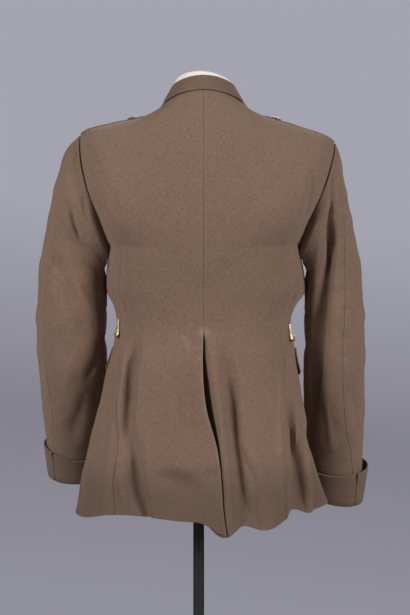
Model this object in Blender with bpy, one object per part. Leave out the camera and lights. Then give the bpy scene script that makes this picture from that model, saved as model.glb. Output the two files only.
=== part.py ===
"""Military dress tunic, filled out on a limbless dress form with a pole stand.

The garment's back looks along -Y and its front along +Y. Every panel is a wall of cloth through rings
whose reach, depth and height are read from the tables below. A ring is followed by its turn, an angle
from the centre line of the back or the front, and the panels by their run, 0 at the neckline and 1 at the
hem. The sleeves have rings of their own, which grow out of the armholes.
"""

from math import cos, pi, radians, sin

import bpy
import numpy as np

# ------------------------------------------------------------------ driving dimensions, in metres
CLOTH = 0.002            # wall of the cloth
SEAM_GAP = 0.0003        # between two pieces at a seam
ARMHOLE_GAP = 0.0003     # of a sleeve from its own side of the armhole's seam
LAY_GAP = 0.0008         # under a piece that lies on another
CENTRE_SHIFT = (-0.0031, -0.0061)    # moves the middle of the whole part onto the origin

RUN_TIP = 0.205          # run of the shoulder point, where the armhole begins
RUN_UNDERARM = 0.371     # run of the armhole's lowest point
RUN_VENT = 0.565         # top of the hooked vent

BACK_LENGTH = 0.727      # neckline to hem, down the centre back: one unit of run
NORMAL_STEP = 2e-4       # step in run and turn over which normals are measured
RIM_ORDER = (0.0, 0.37, 1.0)     # two rims that meet are split along the same diagonals, by this direction

# Centre lines of back and front, and the depth at which the rings are widest.
TRUNK_COLUMNS = "run back_y back_z front_y front_z square"
TRUNK_ROWS = (
    (0.000, -0.0715, 1.5035, 0.045, 1.455, 0.06),
    (0.030, -0.084, 1.482, 0.056, 1.434, 0.08),
    (0.057, -0.093, 1.462, 0.066, 1.417, 0.10),
    (0.127, -0.116, 1.407, 0.088, 1.380, 0.12),
    (0.205, -0.132, 1.347, 0.104, 1.330, 0.12),
    (0.288, -0.138, 1.285, 0.116, 1.275, 0.12),
    (0.371, -0.131, 1.225, 0.120, 1.222, 0.12),
    (0.470, -0.116, 1.154, 0.117, 1.154, 0.10),
    (0.560, -0.106, 1.090, 0.112, 1.090, 0.08),
    (0.658, -0.118, 1.020, 0.118, 1.020, 0.08),
    (0.771, -0.137, 0.940, 0.126, 0.940, 0.08),
    (0.884, -0.154, 0.860, 0.131, 0.860, 0.08),
    (1.000, -0.165, 0.777, 0.134, 0.777, 0.08),
)

# Each side's rings: reach at the widest, its height and depth, and how far out the side seam lies. Above
# the shoulder point the same columns follow the shoulder seam.
SIDE_COLUMNS = "run reach side_z side_y seam_x"
SIDE_ROWS = {
    -1: (
        (0.000, 0.0600, 1.4870, -0.002, 0.0600),
        (0.030, 0.0845, 1.4655, -0.002, 0.0845),
        (0.057, 0.1070, 1.4560, -0.003, 0.1070),
        (0.127, 0.1600, 1.4455, -0.005, 0.1600),
        (0.205, 0.2136, 1.4260, -0.006, 0.2136),
        (0.371, 0.1668, 1.2330, -0.011, 0.1620),
        (0.385, 0.1676, 1.2215, -0.007, 0.1612),
        (0.405, 0.1688, 1.2030, -0.001, 0.1600),
        (0.440, 0.1700, 1.1760, 0.003, 0.1585),
        (0.470, 0.1680, 1.1540, 0.000, 0.1560),
        (0.500, 0.1565, 1.1310, -0.008, 0.1490),
        (0.530, 0.1510, 1.1090, -0.014, 0.1440),
        (0.560, 0.1515, 1.0880, -0.013, 0.1430),
        (0.600, 0.1560, 1.0600, -0.013, 0.1435),
        (0.658, 0.1665, 1.0200, -0.016, 0.1435),
        (0.720, 0.1770, 0.9760, -0.020, 0.1435),
        (0.771, 0.1870, 0.9400, -0.023, 0.1430),
        (0.850, 0.1990, 0.8840, -0.026, 0.1425),
        (0.920, 0.2100, 0.8330, -0.028, 0.1490),
        (1.000, 0.2205, 0.7740, -0.030, 0.1460),
    ),
    1: (
        (0.000, 0.0600, 1.4870, -0.002, 0.0600),
        (0.030, 0.0850, 1.4670, -0.002, 0.0850),
        (0.057, 0.1080, 1.4570, -0.003, 0.1080),
        (0.127, 0.1650, 1.4400, -0.005, 0.1650),
        (0.205, 0.2275, 1.4125, -0.006, 0.2275),
        (0.371, 0.1684, 1.2350, -0.011, 0.1646),
        (0.385, 0.1697, 1.2225, -0.006, 0.1640),
        (0.405, 0.1722, 1.2030, 0.001, 0.1630),
        (0.440, 0.1762, 1.1770, 0.006, 0.1620),
        (0.470, 0.1760, 1.1540, 0.004, 0.1600),
        (0.500, 0.1600, 1.1310, -0.006, 0.1520),
        (0.530, 0.1525, 1.1090, -0.012, 0.1470),
        (0.560, 0.1535, 1.0880, -0.012, 0.1450),
        (0.600, 0.1580, 1.0600, -0.008, 0.1400),
        (0.658, 0.1635, 1.0200, -0.006, 0.1380),
        (0.720, 0.1710, 0.9760, -0.004, 0.1380),
        (0.771, 0.1755, 0.9400, 0.000, 0.1380),
        (0.850, 0.1870, 0.8840, 0.008, 0.1375),
        (0.920, 0.2010, 0.8370, 0.019, 0.1370),
        (1.000, 0.2195, 0.7860, 0.030, 0.1369),
    ),
}

# The armhole is an oval from the shoulder point to the underarm.
ARMHOLE_BACK = 0.055             # how far it bows to the back of its middle line
ARMHOLE_FRONT = 0.075            # and to the front
ARMHOLE_BOW = {-1: 1.60, 1: 1.25}    # how late its seam comes in towards the body on the way down
ARMHOLE_POINT = 0.4              # how far its ends are pointed, from 0 for round
ARMHOLE_COLUMNS = "way back_turn front_turn"
ARMHOLE_ROWS = ((0.00, 90, 90), (0.25, 80, 82), (0.50, 73, 76), (0.75, 73, 84), (1.00, 77, 103))

# Folds of the skirt: the turn from the centre back where each starts and ends, its half width in degrees
# of turn and its height; a negative height is a trough.
FOLD_COLUMNS = "side run_top run_bottom turn_top turn_bottom half_turn height"
FOLD_ROWS = (
    (-1, 0.55, 0.84, 44, 41, 7.0, -0.0050),
    (-1, 0.56, 0.86, 52, 49, 6.0, 0.0035),
    (-1, 0.74, 1.10, 39, 25, 9.0, -0.0080),
    (-1, 0.74, 1.10, 54, 44, 9.0, 0.0050),
    (-1, 0.82, 1.02, 4, 14, 11.0, -0.0050),
    (1, 0.58, 1.10, 13, 17, 7.0, -0.0090),
    (1, 0.76, 1.10, 26, 27, 8.0, 0.0030),
    (1, 0.68, 1.10, 58, 38, 7.0, -0.0120),
    (1, 0.68, 1.10, 80, 40, 8.0, 0.0080),
    (1, 0.70, 1.10, 98, 57, 14.0, -0.0260),
)
FOLD_FADE = 0.12         # stretch of run over which a fold rises and dies away

# Where the hem dips, in degrees of turn from the centre back, and how far; a negative dip is a rise.
HEM_COLUMNS = "side turn half_turn dip"
HEM_ROWS = (
    (-1, -11.5, 15.0, 0.0240), (-1, 34.0, 34.0, -0.0100),
    (1, 8.5, 10.0, 0.0260), (1, 26.0, 15.0, 0.0170), (1, 43.5, 7.0, -0.0120),
)
HEM_REACH = 0.25         # stretch of run over which the dips come in

# Vent: the left panel's edge, and how the right panel dives under it behind a rounded ridge.
VENT_COLUMNS = "run edge_x gap_x"
VENT_ROWS = (
    (0.565, 0.000, 0.0005),
    (0.640, -0.001, 0.0035),
    (0.700, 0.001, 0.0075),
    (0.750, 0.006, 0.0125),
    (0.790, 0.014, 0.0190),
    (0.820, 0.021, 0.0240),
    (0.885, 0.029, 0.0300),
    (0.955, 0.033, 0.0330),
    (1.000, 0.038, 0.0380),
)
VENT_DIVE = 0.011        # how deep the right panel goes under the left
VENT_SLOPE = 0.009       # over what width it gets there
VENT_RIDGE = 0.004       # height of the ridge beside it
VENT_RIDGE_HALF = 0.022
UNDERLAP_DROP = 0.035    # run below the vent's top where it starts
UNDERLAP_FADE = 0.05     # and over which it comes in
UNDERLAP = 0.028         # of the right panel past its gap, under the left

# Front edges: the roll line down to the break, then the overlap past the centre front, as turns.
ROLL_COLUMNS = "run turn"
ROLL_ROWS = (
    (0.000, 67.0), (0.014, 50.0), (0.028, 38.0), (0.057, 26.5), (0.127, 14.5), (0.205, 6.6),
    (0.288, 2.7), (0.371, -1.5), (0.450, -6.6), (0.560, -7.8), (0.770, -7.0), (1.000, -6.0),
)
FRONT_LAP = 0.0032       # how far the right front lies behind the left
FRONT_LAP_TURNS = (9.5, 24.0)    # between these turns it comes back to its ring

# Lapels: the outer edge goes down beside the collar to the notch, out to the point and down to the break.
LAPEL_COLUMNS = "run turn"
LAPEL_ROWS = (
    (0.015, 58.4), (0.032, 53.0), (0.057, 46.5), (0.073, 43.0), (0.090, 46.6), (0.113, 51.6),
    (0.122, 50.4), (0.145, 43.5), (0.175, 35.5), (0.205, 29.5), (0.250, 25.5), (0.300, 21.5),
    (0.350, 16.0), (0.400, 7.5), (0.445, -5.2),
)
LAPEL_SHARES = (0.0, 0.2, 0.4, 0.6, 0.8, 1.0)
LAPEL_RISE = 0.0034      # outer face above the front panel
LAPEL_CURL = ((-0.0041, -0.0010), (-0.0040, 0.0014), (-0.0026, 0.0033))   # across and out at the roll
LAPEL_FLAT = ((-0.0030, 0.0034), (-0.0020, 0.0034), (-0.0010, 0.0034))    # and where it has no roll
LAPEL_FLAT_RUNS = (0.270, 0.295)     # the right lapel's roll flattens between these
LAPEL_CUT_RUNS = (0.300, 0.335)      # then its edge draws back from the left front's
LAPEL_CUT_TURN = 3.2                 # by this turn
RUN_LAPEL_END = {-1: 0.445, 1: 0.392}

# Collar, from the centre back to the roll line: the fold's axis, and where the fall's edge lies.
COLLAR_COLUMNS = "turn fold_x fold_y fold_z fall_run fall_turn"
COLLAR_ROWS = (
    (0, 0.0000, -0.0665, 1.5200, 0.0130, 0),
    (30, 0.0296, -0.0572, 1.5165, 0.0140, 29),
    (60, 0.0508, -0.0330, 1.5085, 0.0170, 59),
    (90, 0.0572, -0.0010, 1.4985, 0.0140, 90),
    (99, 0.0587, 0.0080, 1.4935, 0.0330, 103),
    (106, 0.0596, 0.0140, 1.4895, 0.0720, 117),
    (113, 0.0598, 0.0195, 1.4865, 0.0730, 135.9),
)
COLLAR_TURNS = (0, 14, 28, 42, 56, 70, 84, 95, 106, 113)
COLLAR_SWEEP = 0.72      # how early the fall's sections swing down towards the notch
COLLAR_FOLD = 0.0025     # outer radius of the crease
COLLAR_TUCK = 0.004      # how far the stand reaches down inside the neckline
COLLAR_INSET = 0.0022    # of the stand's axis from the neckline's edge
COLLAR_RISE = 0.0038     # outer face of the fall's edge above the panels

# Shoulder straps, from the sleeve seam to the rounded end.
STRAP_COLUMNS = "run half_width rise"
STRAP_ROWS = (
    (0.2030, 0.0265, 0.0034), (0.1600, 0.0255, 0.0034), (0.1200, 0.0245, 0.0035),
    (0.0900, 0.0235, 0.0038), (0.0700, 0.0225, 0.0042), (0.0590, 0.0180, 0.0044),
    (0.0530, 0.0095, 0.0044),
)
STRAP_BUTTON_RUN = 0.078
STRAP_SEARCH = (40, 140, 101)    # turns over which a ring is followed to lay a strap out, and their count
STRAP_POINTS = 7         # across a strap

# Hip pocket flaps on the fronts, turns measured from the centre front.
FLAP_TURNS = {-1: (28.0, 83.0), 1: (28.0, 97.0)}
FLAP_TOP_RUN = 0.604
FLAP_DEPTHS = (0.040, 0.058)     # at its ends and at its middle point
FLAP_RISES = (0.0030, 0.0060)    # outer face above the panel, at its top and bottom edge
FLAP_COLUMNS = 9
FLAP_ROWS = (0.0, 0.3, 0.6, 0.85, 1.0)
FLAP_POINTED = 1.5       # 1 for a straight-sided point at its lower edge, 2 for a round one

# Sleeves: rings from the armhole to the wrist. An outer and an inner point give each ring's width and
# tilt; deep is its half depth, drop how much its back hangs lower, slant how far its outer point lies in
# front of its middle, spread how far its back and front stand out, bind its share of the armhole's own
# shape, and seam the place of the hind-arm seam in degrees from the outer point to the back. The first
# row only gives the direction in which the sleeve leaves the armhole.
SLEEVE_COLUMNS = "run outer_x outer_z inner_x inner_z mid_y deep drop slant spread bind seam"
SLEEVE_ROWS = {
    -1: (
        (0.000, 0.2210, 1.4215, 0.1640, 1.2305, -0.0265, 0.0655, 0.000, 0.022, 0.0125, 1.00, 45),
        (0.025, 0.2255, 1.4185, 0.1660, 1.2280, -0.0265, 0.0660, 0.000, 0.022, 0.0125, 0.50, 46),
        (0.060, 0.2395, 1.4020, 0.1682, 1.2220, -0.0260, 0.0675, 0.000, 0.018, 0.0130, 0.15, 48),
        (0.100, 0.2475, 1.3800, 0.1690, 1.2150, -0.0220, 0.0690, 0.000, 0.012, 0.0140, 0.03, 50),
        (0.150, 0.2558, 1.3520, 0.1702, 1.2070, -0.0140, 0.0695, 0.000, 0.009, 0.0120, 0.00, 54),
        (0.250, 0.2680, 1.3000, 0.1714, 1.1930, -0.0020, 0.0680, 0.000, 0.004, 0.0090, 0.00, 58),
        (0.370, 0.2820, 1.2250, 0.1702, 1.1680, 0.0080, 0.0655, 0.000, 0.000, 0.0040, 0.00, 56),
        (0.470, 0.2905, 1.1650, 0.1697, 1.1380, 0.0130, 0.0635, 0.000, 0.000, 0.0010, 0.00, 47),
        (0.570, 0.2938, 1.1000, 0.1702, 1.0930, 0.0180, 0.0610, 0.003, 0.000, 0.0000, 0.00, 42),
        (0.660, 0.2925, 1.0450, 0.1712, 1.0430, 0.0280, 0.0585, 0.006, 0.000, 0.0000, 0.00, 44),
        (0.750, 0.2902, 0.9900, 0.1735, 0.9890, 0.0480, 0.0560, 0.010, 0.000, 0.0000, 0.00, 48),
        (0.850, 0.2880, 0.9250, 0.1790, 0.9240, 0.0780, 0.0530, 0.014, 0.000, 0.0000, 0.00, 51),
        (0.930, 0.2850, 0.8750, 0.1840, 0.8730, 0.1040, 0.0500, 0.015, 0.000, 0.0000, 0.00, 49),
        (1.000, 0.2830, 0.8280, 0.1860, 0.8270, 0.1255, 0.0480, 0.015, 0.000, 0.0000, 0.00, 49),
    ),
    1: (
        (0.000, 0.2325, 1.4095, 0.1665, 1.2322, -0.0265, 0.0655, 0.000, 0.022, 0.0125, 1.00, 45),
        (0.025, 0.2345, 1.4055, 0.1690, 1.2290, -0.0265, 0.0660, 0.000, 0.022, 0.0125, 0.50, 47),
        (0.060, 0.2390, 1.3885, 0.1702, 1.2220, -0.0260, 0.0675, 0.000, 0.018, 0.0130, 0.15, 50),
        (0.100, 0.2422, 1.3690, 0.1722, 1.2150, -0.0220, 0.0690, 0.000, 0.012, 0.0140, 0.03, 54),
        (0.150, 0.2460, 1.3450, 0.1748, 1.2070, -0.0140, 0.0695, 0.000, 0.009, 0.0120, 0.00, 60),
        (0.250, 0.2560, 1.2950, 0.1784, 1.1910, -0.0020, 0.0680, 0.000, 0.004, 0.0090, 0.00, 68),
        (0.370, 0.2690, 1.2300, 0.1786, 1.1640, 0.0080, 0.0655, 0.000, 0.000, 0.0040, 0.00, 72),
        (0.470, 0.2785, 1.1700, 0.1778, 1.1330, 0.0130, 0.0635, 0.000, 0.000, 0.0010, 0.00, 74),
        (0.570, 0.2830, 1.1050, 0.1767, 1.0890, 0.0170, 0.0615, 0.000, 0.000, 0.0000, 0.00, 78),
        (0.660, 0.2840, 1.0400, 0.1775, 1.0340, 0.0240, 0.0595, 0.003, 0.000, 0.0000, 0.00, 80),
        (0.750, 0.2850, 0.9850, 0.1790, 0.9800, 0.0400, 0.0570, 0.007, 0.000, 0.0000, 0.00, 78),
        (0.850, 0.2885, 0.9140, 0.1800, 0.9150, 0.0700, 0.0530, 0.012, 0.000, 0.0000, 0.00, 70),
        (0.930, 0.2885, 0.8550, 0.1830, 0.8640, 0.0970, 0.0500, 0.015, 0.000, 0.0000, 0.00, 56),
        (1.000, 0.2892, 0.7800, 0.1860, 0.7985, 0.1230, 0.0480, 0.015, 0.000, 0.0000, 0.00, 49),
    ),
}
FOREARM_SEAM = 247.5     # degrees from the outer point, by way of the back
SLEEVE_ROUND_RUN = 0.22  # run by which its rings are round
SLEEVE_FORWARD = 0.75    # how far a spread ring lies forward, as a share of its spread
SLEEVE_LENGTH = 0.63     # one unit of a sleeve's run

# Turned-back cuffs: depth at the outer side and at the back, and how far the top edge stands off.
CUFF_COLUMNS = "depth_outer depth_back flare_outer flare"
CUFF_ROWS = {-1: (0.055, 0.041, 0.0020, 0.0016), 1: (0.038, 0.034, 0.0080, 0.0016)}
CUFF_RISE = 0.0034       # outer face of the cuff above the sleeve at the fold
CUFF_LEAD = 0.0007       # from the sleeve's end to the cuff's own start
CUFF_FOLD_DOWN = 0.0020  # from the sleeve's end to where the fold bends
CUFF_SHARES = (0.25, 0.5, 0.72, 0.88, 1.0)
CUFF_STEPS = 16
CUFF_SLIT = 0.0012       # between the cuff's ends at its seam
CUFF_SLIT_DEPTH = 0.014  # of the open notch from the top edge
CUFF_SLIT_OPEN = 0.0015  # added to each side at the top of the notch

FRONT_BUTTON_RADIUS = 0.0125
STRAP_BUTTON_RADIUS = 0.0080
FRONT_BUTTON_RUNS = (0.470, 0.590, 0.710, 0.830)
BUTTON_PROFILE = ((0.88, 0.0), (1.0, 0.10), (0.97, 0.20), (0.72, 0.34), (0.38, 0.42))    # by its radius

# Belt hooks: a brass strip down the side seam that turns out and up, as distances down and out.
HOOK_ROUTE = (
    (0.000, 0.0040), (0.010, 0.0042), (0.020, 0.0044), (0.026, 0.0052), (0.0295, 0.0076),
    (0.0290, 0.0102), (0.0250, 0.0114), (0.0200, 0.0118),
)
HOOK_RUN = {-1: 0.533, 1: 0.544}
HOOK_LENGTH = 0.020      # of its straight stretch down the seam
HOOK_WIDTH = 0.0056
HOOK_THICK = 0.0014
HOOK_BACKWARDS = 1.2     # how far it is turned to the back: 1 halves its angle from there

# Dress form: rings of the neck, then rings under the cloth with their clearance at side and centre.
NECK_CENTRE = (0.0015, -0.003)
NECK_ROWS = (                # reach, depth, height, tilt to the front and lean to the right
    (0.0470, 0.0470, 1.5165, 0.0150, 0.0040),
    (0.0505, 0.0505, 1.5140, 0.0150, 0.0040),
    (0.0515, 0.0515, 1.5090, 0.0135, 0.0030),
    (0.0505, 0.0515, 1.4800, 0.0100, 0.0000),
    (0.0560, 0.0540, 1.4600, 0.0140, 0.0000),
)
FORM_COLUMNS = "run side_clear centre_clear"
FORM_ROWS = (
    (0.057, 0.0040, 0.014), (0.085, 0.0014, 0.010), (0.110, 0.0012, 0.008), (0.140, 0.0014, 0.007),
    (0.170, 0.0014, 0.006), (0.200, 0.0020, 0.006), (0.226, 0.0070, 0.006), (0.260, 0.0090, 0.006),
    (0.310, 0.0100, 0.006), (0.340, 0.0110, 0.006), (0.371, 0.0090, 0.007), (0.450, 0.0080, 0.008),
    (0.520, 0.0070, 0.009),
    (0.570, 0.0070, 0.014), (0.620, 0.0090, 0.020), (0.700, 0.0140, 0.022), (0.790, 0.0230, 0.026),
    (0.850, 0.0330, 0.034), (0.872, 0.0430, 0.044),
)
FORM_BOTTOM = 0.868
FORM_HALF_POINTS = 15    # of half a ring, from the centre back to the centre front
FORM_PANEL_POINTS = 41   # at which a panel is read for it
POLE_X = -0.0084
POLE_RADIUS = 0.0095
BASE_RADIUS = 0.165
BASE_PROFILE = (             # radius and height of the turned base, from its underside to its top
    (0.1650, 0.000), (0.1650, 0.007), (0.1600, 0.011), (0.0900, 0.015), (0.0300, 0.018), (0.0180, 0.021),
    (0.0160, 0.034),
)

# Rows and columns of the meshes.
ARMHOLE_STEPS = 8        # rows of a panel along its half of the armhole
TRUNK_STEPS = (
    0.0, 0.015, 0.032, 0.057, 0.09, 0.127, 0.165,
    *np.linspace(RUN_TIP, RUN_UNDERARM, ARMHOLE_STEPS + 1),
    0.405, 0.44, 0.47, 0.498, 0.53, 0.565, 0.6, 0.645, 0.69, 0.735, 0.78, 0.825, 0.87, 0.915, 0.957, 1.0,
)
SLEEVE_STEPS = (
    0.0, 0.018, 0.04, 0.07, 0.105, 0.15, 0.20, 0.26, 0.32, 0.38, 0.44, 0.50, 0.55, 0.60, 0.65, 0.70, 0.75,
    0.80, 0.85, 0.90, 0.95, 1.0,
)
BACK_LEFT_STEPS = (0.0, 0.06, 0.13, 0.21, 0.29, 0.38, 0.47, 0.56, 0.65, 0.74, 0.83, 0.92, 1.0)
BACK_RIGHT_STEPS = (0.0, 0.05, 0.10, 0.15, 0.20, 0.25, 0.31, 0.38, 0.46, 0.55, 0.65, 0.75, 0.84, 0.92, 1.0)
FRONT_LEFT_STEPS = (
    0.0, 0.06, 0.12, 0.19, 0.27, 0.36, 0.45, 0.54, 0.63, 0.71, 0.78, 0.85, 0.90, 0.95, 1.0,
)
FRONT_RIGHT_STEPS = (
    0.0, 0.09, 0.20, 0.32, 0.44, 0.55, 0.64, 0.70, 0.745, 0.785, 0.82, 0.85, 0.88, 0.91, 0.935, 0.96, 0.98,
    1.0,
)

# Looks of the solids: colour, roughness and metallic.
CLOTH_LOOK = ((0.165, 0.118, 0.078, 1.0), 0.9, 0.0)
BRASS_LOOK = ((0.62, 0.46, 0.20, 1.0), 0.35, 1.0)
FORM_LOOK = ((0.80, 0.77, 0.72, 1.0), 0.85, 0.0)
STEEL_LOOK = ((0.02, 0.02, 0.022, 1.0), 0.45, 0.0)


# ------------------------------------------------------------------ tables and small sums

class Table:
    """Rows of named columns, read at any place along the first column by a smooth curve."""

    def __init__(self, columns, rows):
        values = np.array(rows, dtype=float)
        self.names = columns.split()[1:]
        self.keys = values[:, 0]
        self.values = values[:, 1:]
        step = np.diff(self.keys)[:, None]
        slope = np.diff(self.values, axis=0) / step
        middle = (slope[1:] * step[:-1] + slope[:-1] * step[1:]) / (step[1:] + step[:-1])
        self.slopes = np.vstack([slope[:1], middle, slope[-1:]])

    def at(self, key):
        """Every column's value at the given keys, by name."""
        key = np.clip(np.asarray(key, dtype=float), self.keys[0], self.keys[-1])
        right = np.clip(np.searchsorted(self.keys, key), 1, len(self.keys) - 1)
        left = right - 1
        step = (self.keys[right] - self.keys[left])[..., None]
        part = (key - self.keys[left])[..., None] / step
        value = (self.values[left] * (1 + 2 * part) * (1 - part) ** 2
                 + self.slopes[left] * step * part * (1 - part) ** 2
                 + self.values[right] * part ** 2 * (3 - 2 * part)
                 + self.slopes[right] * step * part ** 2 * (part - 1))
        return {name: value[..., index] for index, name in enumerate(self.names)}


def ease(part):
    """0 to 1 with level ends."""
    part = np.clip(part, 0.0, 1.0)
    return part * part * (3 - 2 * part)


def bump(part):
    """1 at 0, falling smoothly to 0 at -1 and 1."""
    return 0.5 + 0.5 * np.cos(pi * np.clip(part, -1.0, 1.0))


def pointed_cosine(angle, point):
    """A cosine of an angle from 0 to a half turn, drawn towards a straight fall by a share."""
    return (1 - point) * np.cos(angle) + point * (1 - 2 * angle / pi)


def unit(vectors):
    """Vectors of length 1."""
    return vectors / np.linalg.norm(vectors, axis=-1, keepdims=True)


def stack(x, y, z):
    """Points from their coordinates."""
    return np.stack(np.broadcast_arrays(x, y, z), axis=-1).astype(float)


def grid_normals(points, outward):
    """Unit normals of a grid of points, on the side of one outward direction at its last corner."""
    normals = unit(np.cross(np.gradient(points, axis=0), np.gradient(points, axis=1)))
    return normals if normals[-1, -1] @ np.asarray(outward) > 0 else -normals


def surface_normals(surface, run, turn, sign):
    """Unit normals of a surface that gives points for a run and a turn; sign makes them point outwards."""
    above, below = np.maximum(run - NORMAL_STEP, 0.0), np.minimum(run + NORMAL_STEP, 1.0)
    down = surface(below, turn) - surface(above, turn)
    across = surface(run, turn + NORMAL_STEP) - surface(run, turn - NORMAL_STEP)
    return sign * unit(np.cross(down, across))


TRUNK = Table(TRUNK_COLUMNS, TRUNK_ROWS)
SIDES = {side: Table(SIDE_COLUMNS, rows) for side, rows in SIDE_ROWS.items()}
ARMHOLE = Table(ARMHOLE_COLUMNS, ARMHOLE_ROWS)
VENT = Table(VENT_COLUMNS, VENT_ROWS)
ROLL = Table(ROLL_COLUMNS, ROLL_ROWS)
LAPEL = Table(LAPEL_COLUMNS, LAPEL_ROWS)
COLLAR = Table(COLLAR_COLUMNS, COLLAR_ROWS)
SLEEVES = {side: Table(SLEEVE_COLUMNS, rows) for side, rows in SLEEVE_ROWS.items()}
FORM = Table(FORM_COLUMNS, FORM_ROWS)


# ------------------------------------------------------------------ the trunk's rings

def ring_factors(turn, square):
    """How far across and how deep a ring goes at a turn, as shares of its reach and depth."""
    across, deep = np.sin(turn), np.cos(turn)
    return across * (1 + square * deep ** 2), deep * (1 + square * across ** 2)


def turn_across(share, square):
    """The turn, up to a quarter, at which a ring goes across by a share of its reach."""
    low, high = np.zeros_like(share), np.full_like(share, pi / 2)
    for _ in range(40):
        middle = (low + high) / 2
        short = ring_factors(middle, square)[0] < share
        low, high = np.where(short, middle, low), np.where(short, high, middle)
    return (low + high) / 2


def centre_line(panel, run):
    """Depth and height of a panel's centre line and of the opposite one."""
    level = TRUNK.at(run)
    back, front = (level["back_y"], level["back_z"]), (level["front_y"], level["front_z"])
    return (back, front) if panel == "back" else (front, back)


def armhole_edge(panel, side, way):
    """The armhole's point on a panel, way going from 0 at the shoulder point to 1 at the underarm."""
    tip = SIDES[side].at(RUN_TIP)
    tip_y = tip["side_y"]
    low_x, low_y, low_z = underarm(side)
    fall = (1 - pointed_cosine(pi * way, ARMHOLE_POINT)) / 2
    bow = np.sin(pi * way) * (-ARMHOLE_BACK if panel == "back" else ARMHOLE_FRONT)
    x = tip["reach"] + (abs(low_x) - tip["reach"]) * fall ** ARMHOLE_BOW[side]
    return stack(x, tip_y + (low_y - tip_y) * fall + bow, tip["side_z"] + (low_z - tip["side_z"]) * fall)


def underarm(side):
    """The point where the side seam meets the armhole."""
    run = np.array(RUN_UNDERARM)
    level, edge = TRUNK.at(run), SIDES[side].at(run)
    turn = turn_across(edge["seam_x"] / edge["reach"], level["square"])
    _, deep = ring_factors(turn, level["square"])
    y = edge["side_y"] + (level["back_y"] - edge["side_y"]) * deep
    z = level["back_z"] + (edge["side_z"] - level["back_z"]) * np.sin(turn) ** 2
    return float(edge["seam_x"]), float(y), float(z)


def ring(panel, side, run):
    """Reach, depth and height of a panel's rings at their widest, and the turn where the panel ends."""
    level, edge = TRUNK.at(run), SIDES[side].at(run)
    square = level["square"]
    seam = turn_across(np.minimum(edge["seam_x"] / edge["reach"], 1.0), square)
    end = np.where(run <= RUN_TIP, pi / 2, seam if panel == "back" else pi - seam)
    reach, side_y, side_z = edge["reach"], edge["side_y"], edge["side_z"]

    way = np.clip((run - RUN_TIP) / (RUN_UNDERARM - RUN_TIP), 0.0, 1.0)
    held = armhole_edge(panel, side, way)
    low_end = turn_across(np.array(SIDES[side].at(RUN_UNDERARM)["seam_x"]
                                   / SIDES[side].at(RUN_UNDERARM)["reach"]),
                          TRUNK.at(RUN_UNDERARM)["square"])
    table_end = radians(ARMHOLE_ROWS[-1][1 if panel == "back" else 2])
    true_end = low_end if panel == "back" else pi - low_end
    turn = np.radians(ARMHOLE.at(way)[panel + "_turn"]) + (true_end - table_end) * way ** 3
    across, deep = ring_factors(turn, square)
    own, other = centre_line(panel, run)
    centre_y = np.where(deep >= 0, own[0], other[0])
    centre_z = np.where(deep >= 0, own[1], other[1])
    inside = (run > RUN_TIP) & (run < RUN_UNDERARM)
    held_y = (held[..., 1] - centre_y * np.abs(deep)) / (1 - np.abs(deep))
    held_z = centre_z + (held[..., 2] - centre_z) / np.sin(turn) ** 2
    return (np.where(inside, held[..., 0] / across, reach), np.where(inside, held_y, side_y),
            np.where(inside, held_z, side_z), np.where(inside, turn, end))


def trunk_points(panel, side, run, turn):
    """Points of the outer face, before any fold."""
    reach, side_y, side_z, _ = ring(panel, side, run)
    square = TRUNK.at(run)["square"]
    across, deep = ring_factors(turn, square)
    own, other = centre_line(panel, run)
    centre_y = np.where(deep >= 0, own[0], other[0])
    centre_z = np.where(deep >= 0, own[1], other[1])
    return stack(side * reach * across, side_y + (centre_y - side_y) * np.abs(deep),
                 centre_z + (side_z - centre_z) * np.sin(turn) ** 2)


def panel_sign(panel, side):
    """1 or -1, so that the cross product down and across a panel points out of the body."""
    return side if panel == "back" else -side


def degrees_from_back(panel, turn):
    """A panel's turn as degrees from the centre back."""
    return np.degrees(turn if panel == "back" else pi - turn)


def fold_height(panel, side, run, turn):
    """How far the folds move a point out of its ring."""
    from_back = degrees_from_back(panel, turn)
    height = np.zeros(np.broadcast(run, turn).shape)
    for row in FOLD_ROWS:
        fold = dict(zip(FOLD_COLUMNS.split(), row))
        if fold["side"] != side:
            continue
        way = (run - fold["run_top"]) / (fold["run_bottom"] - fold["run_top"])
        centre = fold["turn_top"] + (fold["turn_bottom"] - fold["turn_top"]) * way
        fade = ease((run - fold["run_top"]) / FOLD_FADE) * ease((fold["run_bottom"] - run) / FOLD_FADE)
        height += fold["height"] * fade * bump((from_back - centre) / fold["half_turn"])
    return height


def lap_height(panel, side, run, points, turn):
    """How far the right panels lie inside the left ones, at the vent and at the front."""
    if side < 0:
        return np.zeros(points.shape[:-1])
    if panel == "front":
        first, last = FRONT_LAP_TURNS
        return -FRONT_LAP * (1 - ease((np.degrees(turn) - first) / (last - first)))
    beside = points[..., 0] - VENT.at(run)["gap_x"]
    opened = ease((run - RUN_VENT) / 0.03)
    return opened * (VENT_RIDGE * bump((beside - 0.6 * VENT_RIDGE_HALF) / VENT_RIDGE_HALF)
                     - VENT_DIVE * ease(0.5 - beside / VENT_SLOPE))


def folded_points(panel, side, run, turn):
    """Points of the outer face with the folds, the laps and the dips of the hem."""
    points = trunk_points(panel, side, run, turn)
    normals = surface_normals(lambda runs, turns: trunk_points(panel, side, runs, turns), run, turn,
                              panel_sign(panel, side))
    height = fold_height(panel, side, run, turn) + lap_height(panel, side, run, points, turn)
    points = points + normals * height[..., None]
    from_back = degrees_from_back(panel, turn)
    for row in HEM_ROWS:
        hem = dict(zip(HEM_COLUMNS.split(), row))
        if hem["side"] == side:
            share = bump((from_back - hem["turn"]) / hem["half_turn"])
            points[..., 2] -= hem["dip"] * share * ease((run - 1 + HEM_REACH) / HEM_REACH)
    return points


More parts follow.
